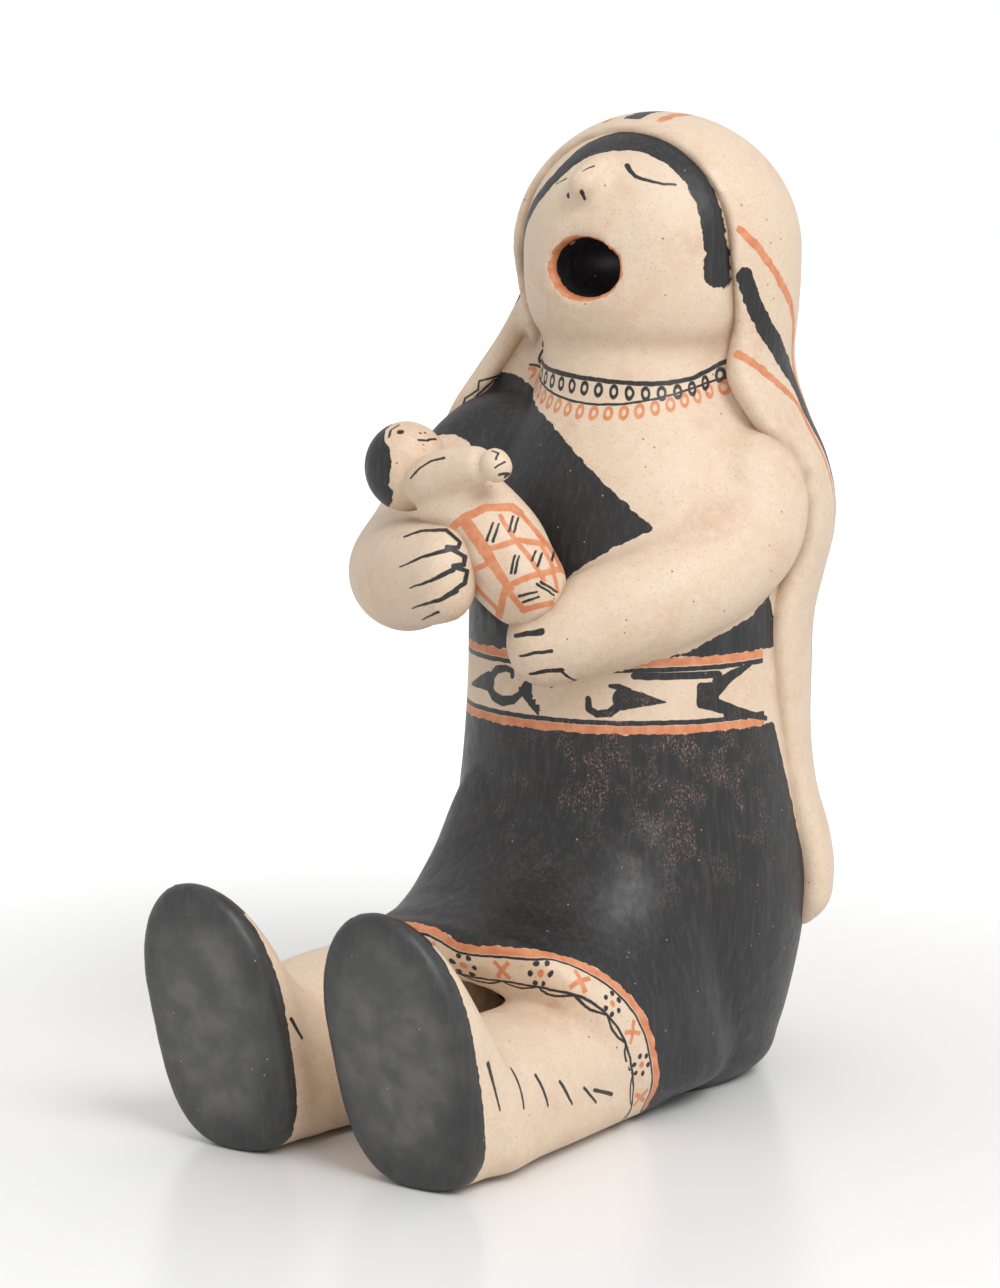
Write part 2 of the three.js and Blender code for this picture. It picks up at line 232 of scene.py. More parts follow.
def egg(
    centre: tuple[float, ...], radii: tuple[float, ...], sides: int, steps: int, square: float = 2
) -> Surface:
    """Ellipsoid by its middle and three half sizes: rings of radius sin(fall) at -cos(fall),
    both to the power 2 / square in the lower half, which makes a fuller jaw.

    Args:
        centre: the middle.
        radii: half sizes across, along Y and upwards.
        sides: points in each ring.
        steps: number of rings.
        square: squareness of the lower half.
    Returns:
        The closed skin.
    """
    pole = 0.02
    fall = np.linspace(pole, np.pi - pole, steps)[:, None]
    bend = np.where(np.cos(fall) > 0, 2 / square, 1.0)
    wide, low = power(np.sin(fall), bend), power(np.cos(fall), bend)
    a = turn_angles(sides)
    x = centre[0] + radii[0] * wide * np.cos(a)
    y = centre[1] + radii[1] * wide * np.sin(a)
    z = centre[2] - radii[2] * low + 0 * a
    return skin(np.stack([x, y, z], -1))


# Meshes

def joined(surfaces: list[Surface]) -> Surface:
    """Several closed surfaces as one list of points and faces.

    Args:
        surfaces: points and faces of each.
    Returns:
        The points and the faces of them all.
    """
    points, faces, start = [], [], 0
    for p, f in surfaces:
        points.append(p)
        faces += [tuple(i + start for i in face) for face in f]
        start += len(p)
    return np.vstack(points), faces


def mesh_of(name: str, surface: Surface) -> bpy.types.Mesh:
    """A mesh from points and faces, in their own units.

    Args:
        name: the mesh's name.
        surface: points and faces.
    Returns:
        The mesh.
    """
    mesh = bpy.data.meshes.new(name)
    mesh.from_pydata(surface[0].tolist(), [], surface[1])
    mesh.update()
    return mesh


def placed(name: str, data: bpy.types.ID) -> bpy.types.Object:
    """A new object in the scene, at the origin."""
    made = bpy.data.objects.new(name, data)
    bpy.context.scene.collection.objects.link(made)
    return made


def applied(mesh: bpy.types.Mesh, kind: str, **settings: object) -> bpy.types.Mesh:
    """The mesh after one modifier.

    Args:
        mesh: the mesh, which is removed.
        kind: Blender's name of the modifier.
        settings: the modifier's values.
    Returns:
        The new mesh.
    """
    holder = placed(mesh.name, mesh)
    modifier = holder.modifiers.new(kind, kind)
    for key, value in settings.items():
        setattr(modifier, key, value)
    graph = bpy.context.evaluated_depsgraph_get()
    made = bpy.data.meshes.new_from_object(holder.evaluated_get(graph))
    name = mesh.name
    bpy.data.objects.remove(holder)
    bpy.data.meshes.remove(mesh)
    made.name = name
    return made


def cut(base: Surface, tool: Surface) -> Surface:
    """The base without the space that the tool holds.

    Args:
        base: a closed surface.
        tool: the closed surface of what is taken away.
    Returns:
        Points and faces of what is left.
    """
    cutter_mesh = mesh_of("cutter", tool)
    cutter = placed("cutter", cutter_mesh)
    mesh = applied(
        mesh_of("base", base), "BOOLEAN", operation="DIFFERENCE", solver="EXACT", object=cutter
    )
    bpy.data.objects.remove(cutter)
    bpy.data.meshes.remove(cutter_mesh)
    points = points_of(mesh)
    faces = [tuple(p.vertices) for p in mesh.polygons]
    bpy.data.meshes.remove(mesh)
    return points, faces


def points_of(mesh: bpy.types.Mesh) -> np.ndarray:
    """The places of a mesh's points.

    Args:
        mesh: the mesh.
    Returns:
        One row for each point.
    """
    co = np.empty(len(mesh.vertices) * 3, np.float32)
    mesh.vertices.foreach_get("co", co)
    return co.reshape(-1, 3).astype(float)


def normals_of(mesh: bpy.types.Mesh) -> np.ndarray:
    """The outward directions at a mesh's points.

    Args:
        mesh: the mesh.
    Returns:
        One row for each point.
    """
    out = np.empty(len(mesh.vertices) * 3, np.float32)
    mesh.vertices.foreach_get("normal", out)
    return out.reshape(-1, 3).astype(float)


class Clay:
    """One lump of clay: lofts joined under one even skin, whose points can be smoothed."""

    def __init__(self, name: str, surfaces: list[Surface], grain: float) -> None:
        """Joins the lofts.

        Args:
            name: the piece's name.
            surfaces: closed lofts that overlap.
            grain: edge length of the new skin, in millimetres.
        """
        mesh = mesh_of(name, joined(surfaces))
        self.mesh = applied(mesh, "REMESH", mode="VOXEL", voxel_size=grain)
        self.grain = grain
        pairs = np.empty(len(self.mesh.edges) * 2, np.int32)
        self.mesh.edges.foreach_get("vertices", pairs)
        pairs = pairs.reshape(-1, 2)
        self.ends = np.concatenate([pairs, pairs[:, ::-1]])
        self.count = np.bincount(self.ends[:, 0], minlength=len(self.mesh.vertices))
        self.points = points_of(self.mesh)

    def mean_of_neighbours(self, values: np.ndarray) -> np.ndarray:
        """For each point, the mean of its neighbours' values.

        Args:
            values: one row for each point.
        Returns:
            The means, one row for each point.
        """
        at, to = self.ends[:, 0], self.ends[:, 1]
        columns = [np.bincount(at, v[to], len(self.count)) / self.count for v in values.T]
        return np.stack(columns, -1)

    def relax(self, rounds: int, share: np.ndarray | float = 1.0) -> None:
        """Smooths the skin without shrinking it: each round moves a point towards the mean of
        its neighbours and then a little further back.

        Args:
            rounds: how often.
            share: how much of it each point takes, 0 to 1.
        """
        forth, back = 0.5, -0.53
        weight = np.broadcast_to(np.asarray(share, float), self.count.shape)[:, None]
        for _ in range(rounds):
            for step in (forth, back):
                move = self.mean_of_neighbours(self.points) - self.points
                self.points += step * weight * move

    def soften(self, rounds: int, share: np.ndarray | float) -> None:
        """Plain smoothing, which also rounds edges and fills creases.

        Args:
            rounds: how often.
            share: how much of it each point takes, 0 to 1.
        """
        step = 0.5
        weight = np.broadcast_to(np.asarray(share, float), self.count.shape)[:, None]
        for _ in range(rounds):
            self.points += step * weight * (self.mean_of_neighbours(self.points) - self.points)

    def fill_creases(self, rounds: int, share: np.ndarray | float) -> None:
        """Fills creases as wet slip does: where the neighbours' mean lies outside the skin, the
        point moves out to it, and elsewhere it stays.

        Args:
            rounds: how often.
            share: how much of it each point takes, 0 to 1.
        """
        weight = np.broadcast_to(np.asarray(share, float), self.count.shape)[:, None]
        slack, step = 0.012 * self.grain, 0.6
        for _ in range(rounds):
            self.mesh.vertices.foreach_set("co", self.points.astype(np.float32).ravel())
            self.mesh.update()
            out = normals_of(self.mesh)
            move = self.mean_of_neighbours(self.points) - self.points
            rise = (move * out).sum(1, keepdims=True)
            self.points += step * weight * np.maximum(rise - slack, 0) * out

    def near(self, spots: Rows) -> np.ndarray:
        """How near each point is to the spots: the largest of strength times a bell curve.

        Args:
            spots: x, y, z, reach, strength.
        Returns:
            One share for each point, 0 to 1.
        """
        best = np.zeros(len(self.points))
        for x, y, z, reach, strength in spots:
            far2 = ((self.points - [x, y, z]) ** 2).sum(1)
            best = np.maximum(best, strength * np.exp(-far2 / (2 * reach * reach)))
        return best

    def finished(self) -> bpy.types.Object:
        """The piece as an object at the origin, in metres and in the row frame.

        Returns:
            The object.
        """
        self.points[:, 2] = np.maximum(self.points[:, 2], 0)
        co = ((self.points + SHIFT) * METRE).astype(np.float32)
        self.mesh.vertices.foreach_set("co", co.ravel())
        self.mesh.polygons.foreach_set("use_smooth", [True] * len(self.mesh.polygons))
        self.mesh.update()
        return placed(self.mesh.name, self.mesh)


# Charts: flat maps of the clay, in millimetres, that the brush marks are laid out on

class Sight:
    """The photograph's viewpoint: finds the clay seen behind a place in its pixels."""

    middle = (500, 644)
    pixels_across_sensor = 1288

    def __init__(self, piece: bpy.types.Object, studio: "Studio") -> None:
        """Sets up the rays.

        Args:
            piece: the finished object.
            studio: the camera's place, target and lens.
        """
        place, target = Vector(studio.camera_place), Vector(studio.camera_target)
        self.eye, self.ahead = place, (target - place).normalized()
        self.reach = (target - place).length
        self.right = self.ahead.cross(Vector((0, 0, 1))).normalized()
        self.top = self.right.cross(self.ahead)
        self.focal = studio.lens / studio.sensor * self.pixels_across_sensor
        self.tree = BVHTree.FromObject(piece, bpy.context.evaluated_depsgraph_get())

    def spots(self, pixels: Pixels) -> tuple[np.ndarray, np.ndarray]:
        """The places on the clay behind some pixels. A pixel beside the clay gives the place
        nearest to its ray.

        Args:
            pixels: places in the photograph.
        Returns:
            The places in the part's own frame, and the ways the clay faces there.
        """
        places, normals = [], []
        for across, down in pixels:
            x, y = (across - self.middle[0]) / self.focal, (down - self.middle[1]) / self.focal
            ray = (self.ahead + self.right * x - self.top * y).normalized()
            hit = self.tree.ray_cast(self.eye, ray)
            if hit[0] is None:
                hit = self.tree.find_nearest(self.eye + ray * self.reach)
            places.append(hit[0])
            normals.append(hit[1])
        return np.array(places) / METRE - SHIFT, np.array(normals)

    def outer(self, places: np.ndarray, axis: tuple[float, float]) -> np.ndarray:
        """Places moved level, away from an upright axis, to the outermost clay there.

        Args:
            places: one row for each place.
            axis: where the axis stands.
        Returns:
            The moved places.
        """
        found = []
        for place in (places + SHIFT) * METRE:
            start = Vector((*((np.array(axis) + SHIFT[:2]) * METRE), place[2]))
            way = (Vector(place) - start).normalized()
            hit = self.tree.ray_cast(start + way * self.reach, -way)
            found.append(place if hit[0] is None else hit[0])
        return np.array(found) / METRE - SHIFT

    def nearest(self, places: np.ndarray) -> np.ndarray:
        """Places moved to the nearest clay."""
        found = [self.tree.find_nearest(Vector(place))[0] for place in (places + SHIFT) * METRE]
        return np.array(found) / METRE - SHIFT


def sight_plane(sight: Sight, pixels: Pixels, through: tuple[float, ...]) -> np.ndarray:
    """The places where the rays of some pixels meet a plane square to the view.

    Args:
        sight: the photograph's viewpoint.
        pixels: places in the photograph.
        through: a point of the plane, in the part's own frame.
    Returns:
        The places in the part's own frame.
    """
    eye = np.array(sight.eye) / METRE - SHIFT
    ahead = np.array(sight.ahead)
    x = (np.array(pixels, float)[:, :1] - sight.middle[0]) / sight.focal
    y = (np.array(pixels, float)[:, 1:] - sight.middle[1]) / sight.focal
    rays = ahead + np.array(sight.right) * x - np.array(sight.top) * y
    far = (np.array(through) - eye) @ ahead
    return eye + rays * far


@dataclass
class Flat:
    """Flat chart across a way of facing: the level direction, then the one upwards."""

    facing: np.ndarray

    def read(self, points: np.ndarray) -> np.ndarray:
        """Chart places of points, as products with the two directions.

        Args:
            points: one row for each point.
        Returns:
            Two columns, across and upwards.
        """
        out = self.facing / np.linalg.norm(self.facing)
        level = np.cross([0.0, 0.0, 1.0], out)
        level /= np.linalg.norm(level)
        return np.stack([points @ level, points @ np.cross(out, level)], -1)


@dataclass
class Around:
    """Chart round an upright axis: the angle from the front times a radius, and the height."""

    axis: tuple[float, float]
    radius: float

    def read(self, points: np.ndarray) -> np.ndarray:
        """Chart places of points."""
        angle = np.arctan2(points[:, 0] - self.axis[0], self.axis[1] - points[:, 1])
        return np.stack([self.radius * angle, points[:, 2]], -1)


@dataclass
class Ribbon:
    """Chart along a line on the clay: how far along it the nearest place is, and how far away
    the point is, positive on the side of the cross product of the way out from a middle inside
    the clay and the way the line runs."""

    line: np.ndarray
    middle: np.ndarray

    def read(self, points: np.ndarray) -> np.ndarray:
        """Chart places of points, from the nearest of the line's pieces.

        Args:
            points: one row for each point.
        Returns:
            Two columns, along the line and away from it.
        """
        run = np.diff(self.line, axis=0)
        length = np.linalg.norm(run, axis=1)
        start = np.concatenate([[0], np.cumsum(length)])
        best = np.full(len(points), np.inf)
        along_line, side = np.zeros(len(points)), np.zeros(len(points))
        for a, r, l, s in zip(self.line, run, length, start):
            away = points - a
            share = np.clip(away @ r / l**2, 0, 1)
            gap = away - share[:, None] * r
            far = np.linalg.norm(gap, axis=1)
            out = a + share[:, None] * r - self.middle
            nearer = far < best
            best = np.where(nearer, far, best)
            along_line = np.where(nearer, s + share * l, along_line)
            side = np.where(nearer, np.sign((gap * np.cross(out, r)).sum(1)), side)
        return np.stack([along_line, side * best], -1)


def within(chart: np.ndarray, outline: np.ndarray) -> np.ndarray:
    """Signed distance from places of a chart to a closed outline, negative inside it: the
    nearest side's distance, with the sign from counting the sides crossed on the way out.

    Args:
        chart: one row for each place.
        outline: the outline's corners in order.
    Returns:
        One distance for each place.
    """
    best = np.full(len(chart), np.inf)
    odd = np.zeros(len(chart), bool)
    x, y = chart.T
    for a, b in zip(outline, np.roll(outline, -1, axis=0)):
        run = b - a
        away = chart - a
        share = np.clip(away @ run / (run @ run), 0, 1)
        best = np.minimum(best, np.linalg.norm(away - share[:, None] * run, axis=1))
        crosses = (a[1] <= y) != (b[1] <= y)
        rise = run[1] if run[1] else 1.0
        odd ^= crosses & (x < a[0] + run[0] * (y - a[1]) / rise)
    return np.where(odd, -best, best)


def rounded(outline: np.ndarray, rounds: int = 2) -> np.ndarray:
    """A closed outline with its corners cut: each side keeps the places at 0.2 and 0.8 of it.

    Args:
        outline: the corners in order.
        rounds: how often each corner is cut.
    Returns:
        The new corners.
    """
    keep = 0.2
    for _ in range(rounds):
        run = np.roll(outline, -1, axis=0) - outline
        outline = np.stack([outline + keep * run, outline + (1 - keep) * run], 1).reshape(-1, 2)
    return outline


def off_line(points: np.ndarray, line: np.ndarray, halves: np.ndarray) -> np.ndarray:
    """Distance from points to a line of places less its half width there, which may change.

    Args:
        points: one row for each point.
        line: the line's places in order.
        halves: its half width at each of them.
    Returns:
        One distance for each point.
    """
    best = np.full(len(points), np.inf)
    for a, b, start, stop in zip(line[:-1], line[1:], halves[:-1], halves[1:]):
        run = b - a
        away = points - a
        share = np.clip(away @ run / (run @ run), 0, 1)
        far = np.linalg.norm(away - share[:, None] * run, axis=1)
        best = np.minimum(best, far - start - share * (stop - start))
    return best


def off_limb(points: np.ndarray, path: Rows) -> np.ndarray:
    """Distance from points to the skin of a limb, by its path and half thickness."""
    rows = np.asarray(path, float)
    return off_line(points, rows[:, :3], rows[:, 3:].mean(1))


# Node trees

class Bench:
    """A node tree, with short ways to add to it."""

    def __init__(self, tree: bpy.types.NodeTree) -> None:
        """Keeps the tree."""
        self.tree = tree

    def put(self, socket: bpy.types.NodeSocket, value: object) -> None:
        """Links a socket to another, or sets its value.

        Args:
            socket: an input.
            value: an output to link, or the value.
        """
        if isinstance(value, bpy.types.NodeSocket):
            self.tree.links.new(value, socket)
        else:
            socket.default_value = value

    def add(self, kind: str, values: dict, **settings: object) -> bpy.types.Node:
        """A new node.

        Args:
            kind: the node's type, without its usual beginning.
            values: links or numbers for its inputs, by name or place.
            settings: the node's own properties.
        Returns:
            The node.
        """
        node = self.tree.nodes.new("ShaderNode" + kind)
        for name, value in settings.items():
            setattr(node, name, value)
        for key, value in values.items():
            self.put(node.inputs[key], value)
        return node

    def math(self, operation: str, *values: object, clamp: bool = False) -> bpy.types.NodeSocket:
        """The result of a sum on numbers."""
        node = self.add("Math", dict(enumerate(values)), operation=operation, use_clamp=clamp)
        return node.outputs[0]

    def vector(self, operation: str, *values: object) -> bpy.types.NodeSocket:
        """The result of a sum on vectors."""
        node = self.add("VectorMath", dict(enumerate(values)), operation=operation)
        return node.outputs["Value" if operation in ("LENGTH", "DOT_PRODUCT") else "Vector"]

    def scaled(self, vector: object, scale: object) -> bpy.types.NodeSocket:
        """A vector times a number."""
        return self.add("VectorMath", {0: vector, "Scale": scale}, operation="SCALE").outputs[0]

    def least(self, values: list) -> bpy.types.NodeSocket:
        """The smallest of some values.

        Args:
            values: outputs, at least one.
        Returns:
            The output with the smallest value.
        """
        best = values[0]
        for value in values[1:]:
            best = self.math("MINIMUM", best, value)
        return best

    def noise(self, place: object, scale: float, detail: float = 2.0, key: str = "Fac") -> object:
        """Soft random values over a place: about half on average."""
        node = self.add("TexNoise", {"Vector": place, "Scale": scale, "Detail": detail})
        return node.outputs[key]

    def ramp(self, value: object, low: float, high: float, smooth: bool = True) -> object:
        """0 at the low value and 1 at the high one."""
        return self.add(
            "MapRange", {"Value": value, "From Min": low, "From Max": high},
            interpolation_type="SMOOTHSTEP" if smooth else "LINEAR",
        ).outputs["Result"]

    def mixed(self, share: object, first: object, second: object) -> bpy.types.NodeSocket:
        """A colour between two.

        Args:
            share: how much of the second.
            first: colour at no share.
            second: colour at the whole share.
        Returns:
            The colour's output.
        """
        node = self.tree.nodes.new("ShaderNodeMix")
        node.data_type = "RGBA"
        for key, value in (("Factor_Float", share), ("A_Color", first), ("B_Color", second)):
            self.put(next(s for s in node.inputs if s.identifier == key), value)
        return next(s for s in node.outputs if s.identifier == "Result_Color")


class Group(Bench):
    """A shader node group with named inputs and outputs."""

    def __init__(self, name: str, inputs: dict[str, str], outputs: dict[str, str]) -> None:
        """Makes the group's sockets.

        Args:
            name: the group's name.
            inputs: kinds of the inputs, by name.
            outputs: kinds of the outputs, by name.
        """
        super().__init__(bpy.data.node_groups.new(name, "ShaderNodeTree"))
        for side, sockets in (("INPUT", inputs), ("OUTPUT", outputs)):
            for label, kind in sockets.items():
                self.tree.interface.new_socket(label, in_out=side, socket_type="NodeSocket" + kind)
        self.given = self.tree.nodes.new("NodeGroupInput").outputs
        self.result = self.tree.nodes.new("NodeGroupOutput").inputs

    def used(self, bench: Bench, values: dict[str, object]) -> bpy.types.Node:
        """The group as a node in a tree."""
        return bench.add("Group", values, node_tree=self.tree)


class Slip(Enum):
    """What a mark is painted with."""

    BLACK = "black"
    ORANGE = "orange"


@dataclass(frozen=True)
class Stroke:
    """A brush mark through some of the photograph's pixels, with its half width in millimetres
    at the start and at the end."""

    pixels: Pixels
    start: float = 0.35
    stop: float = 0.35
    slip: Slip = Slip.BLACK


Marks = dict[Slip, list]
Pattern = Callable[[Bench, object, object], Marks]
Colour = tuple[float, float, float, float]


@dataclass(frozen=True)
class SlipColours:
    """Colours of the slips, their stains, the brown of dirt and painted shade in creases, and the
    clay under them, in linear light.
    """

    cream: Colour = (0.70, 0.548, 0.405, 1)
    cream_cloud: Colour = (0.66, 0.475, 0.335, 1)
    cream_light: Colour = (0.73, 0.595, 0.46, 1)
    freckle: Colour = (0.44, 0.29, 0.185, 1)
    pit: Colour = (0.22, 0.13, 0.08, 1)
    # Brown for creases and contacts: dirt, and painted shade where the parts meet
    dirt_and_shade: Colour = (0.3, 0.185, 0.11, 1)
    black: Colour = (0.014, 0.0137, 0.0148, 1)
    black_streak: Colour = (0.036, 0.034, 0.033, 1)
    soot: Colour = (0.066, 0.066, 0.065, 1)
    soot_light: Colour = (0.115, 0.114, 0.11, 1)
    speck: Colour = (0.42, 0.36, 0.29, 1)
    bare_clay: Colour = (0.26, 0.155, 0.11, 1)
    orange: Colour = (0.60, 0.20, 0.085, 1)
    orange_light: Colour = (0.68, 0.29, 0.145, 1)
    orange_freckle: Colour = (0.46, 0.15, 0.07, 1)


class Paintbox:
    """The node groups that every painted surface shares."""

    def __init__(self) -> None:
        """Makes the groups."""
        self.colours = SlipColours()
        self.stroke = self.stroke_group()
        self.edge = self.edge_group()
        self.surface = self.surface_group()

    def stroke_group(self) -> Group:
        """Distance to a straight stroke: away from the nearest place on it, less the half
        width there, or to the others if they are nearer.

        Returns:
            The group.
        """
        group = Group("stroke", {
            "Place": "Vector", "Start": "Vector", "Run": "Vector", "Share per mm2": "Float",
            "Half width": "Float", "Widening": "Float", "Others": "Float",
        }, {"Distance": "Float"})
        given = group.given
        away = group.vector("SUBTRACT", given["Place"], given["Start"])
        along_run = group.vector("DOT_PRODUCT", away, given["Run"])
        share = group.math("MULTIPLY", along_run, given["Share per mm2"], clamp=True)
        gap = group.vector("SUBTRACT", away, group.scaled(given["Run"], share))
        half = group.math("MULTIPLY_ADD", share, given["Widening"], given["Half width"])
        far = group.math("SUBTRACT", group.vector("LENGTH", gap), half)
        group.put(group.result["Distance"], group.math("MINIMUM", far, given["Others"]))
        return group

    def edge_group(self) -> Group:
        """The share of a brush's paint, from the distance to its edge in millimetres.

        Returns:
            The group.
        """
        group = Group("brush edge", {"Distance": "Float", "Softness": "Float"}, {"Paint": "Float"})
        given = group.given
        soft = group.math("DIVIDE", given["Distance"], given["Softness"])
        group.put(group.result["Paint"], group.ramp(soft, 1.0, -1.0))
        return group

    def cream_slip(self, group: Group, mottle: object, freckle: object, pit: object) -> object:
        """Cream slip with darker clouds, lighter mottling, freckles, pits, and dirt with painted
        shade darkening its creases and the places where the pieces meet.

        Args:
            group: the group that the nodes go into.
            mottle: random values for the mottling.
            freckle: share of freckles.
            pit: share of pits.
        Returns:
            The colour's output.
        """
        tint, place = self.colours, group.given["Place"]
        cloud = group.ramp(group.noise(place, 0.07, 3), 0.45, 0.75)
        cream = group.mixed(cloud, tint.cream, tint.cream_cloud)
        light = group.math("MULTIPLY", group.ramp(mottle, 0.4, 0.7), 0.6)
        cream = group.mixed(light, cream, tint.cream_light)
        cream = group.mixed(freckle, cream, tint.freckle)
        cream = group.mixed(pit, cream, tint.pit)
        # Painted shade with dirt: darkens the cream in creases and where the pieces touch, by the
        # Hollow share
        uneven = group.math("MULTIPLY_ADD", mottle, 0.6, 0.25)
        dirt_and_shade = group.math("MULTIPLY", group.given["Hollow"], uneven)
        return group.mixed(dirt_and_shade, cream, tint.dirt_and_shade)

    def black_slip(self, group: Group, streak: object, speck: object) -> object:
        """Black slip with brush streaks, smoky grey soles, pale specks and worn patches.

        Args:
            group: the group that the nodes go into.
            streak: random values for the streaks.
            speck: share of specks.
        Returns:
            The colour's output.
        """
        tint, given = self.colours, group.given
        place = given["Place"]
        smoke = group.noise(place, 0.16, 4)
        black = group.mixed(group.ramp(streak, 0.42, 0.8), tint.black, tint.black_streak)
        soot = group.mixed(group.ramp(smoke, 0.35, 0.68), tint.soot, tint.soot_light)
        black = group.mixed(given["Grey"], black, soot)
        black = group.mixed(group.math("MULTIPLY", speck, 0.75), black, tint.speck)
        rubbed = group.noise(group.vector("MULTIPLY", place, (1.0, 1.0, 0.6)), 3.0, 5)
        patchy = group.math("MULTIPLY", given["Worn"], group.ramp(smoke, 0.44, 0.6))
        worn = group.math("MULTIPLY", patchy, group.ramp(rubbed, 0.5, 0.66))
        return group.mixed(group.math("MULTIPLY", worn, 0.85), black, tint.bare_clay)

    def dots(
        self, group: Group, cells: bpy.types.Node, size: float, chosen: tuple[float, float]
    ) -> object:
        """Share of small round dots, one in the middle of some of the cells.

        Args:
            group: the group that the nodes go into.
            cells: the cells' texture.
            size: where a dot starts to fade, as a share of a cell.
            chosen: range of the cells' random values over which dots come in.
        Returns:
            The share's output.
        """
        core = 0.04
        number = group.add("SeparateColor", {0: cells.outputs["Color"]}).outputs[0]
        round_dot = group.ramp(cells.outputs["Distance"], size, core)
        return group.math("MULTIPLY", round_dot, group.ramp(number, *chosen))

    def surface_group(self) -> Group:
        """Colour, roughness and height of burnished slip, from the place in millimetres and the
        shares of black, orange, sooty-grey and worn surface, and of hollow surface, which gets dirt
        and painted shade.

        Returns:
            The group.
        """
        group = Group("slip surface", {
            "Place": "Vector", "Black": "Float", "Orange": "Float", "Grey": "Float",
            "Worn": "Float", "Hollow": "Float",
        }, {"Color": "Color", "Roughness": "Float", "Height": "Float"})
        given, place, tint = group.given, group.given["Place"], self.colours
        mottle, grain = group.noise(place, 0.5, 3), group.noise(place, 2.4, 2)
        streak = group.noise(group.vector("MULTIPLY", place, (1.0, 1.0, 0.1)), 1.1, 4)
        freckle = group.math("MULTIPLY", group.ramp(grain, 0.57, 0.72), 0.5)
        cells = group.add("TexVoronoi", {"Vector": place, "Scale": 0.33})
        pit = self.dots(group, cells, 0.08, (0.62, 0.68))
        speck = self.dots(group, cells, 0.075, (0.5, 0.56))
        orange = group.mixed(group.ramp(mottle, 0.3, 0.7), tint.orange, tint.orange_light)
        orange = group.mixed(freckle, orange, tint.orange_freckle)
        colour = group.mixed(
            given["Orange"], self.cream_slip(group, mottle, freckle, pit), orange
        )
        colour = group.mixed(given["Black"], colour, self.black_slip(group, streak, speck))
        group.put(group.result["Color"], colour)
        rough = group.math("MULTIPLY_ADD", mottle, 0.22, 0.42)
        sheen = group.math("MULTIPLY", given["Black"], -0.08)
        group.put(group.result["Roughness"], group.math("ADD", rough, sheen))
        rolling = group.noise(place, 0.13, 2)
        height = group.math("MULTIPLY", rolling, 0.5)
        for values, depth in ((grain, 0.028), (streak, 0.03), (pit, -0.09)):
            height = group.math("MULTIPLY_ADD", values, depth, height)
        group.put(group.result["Height"], height)
        return group


@dataclass
class Zone:
    """A stretch of a piece with its own chart and its own brush marks."""

    name: str
    chart: Flat | Around | Ribbon
    faces: np.ndarray
    strokes: tuple[Stroke, ...] = ()
    pattern: Pattern | None = None


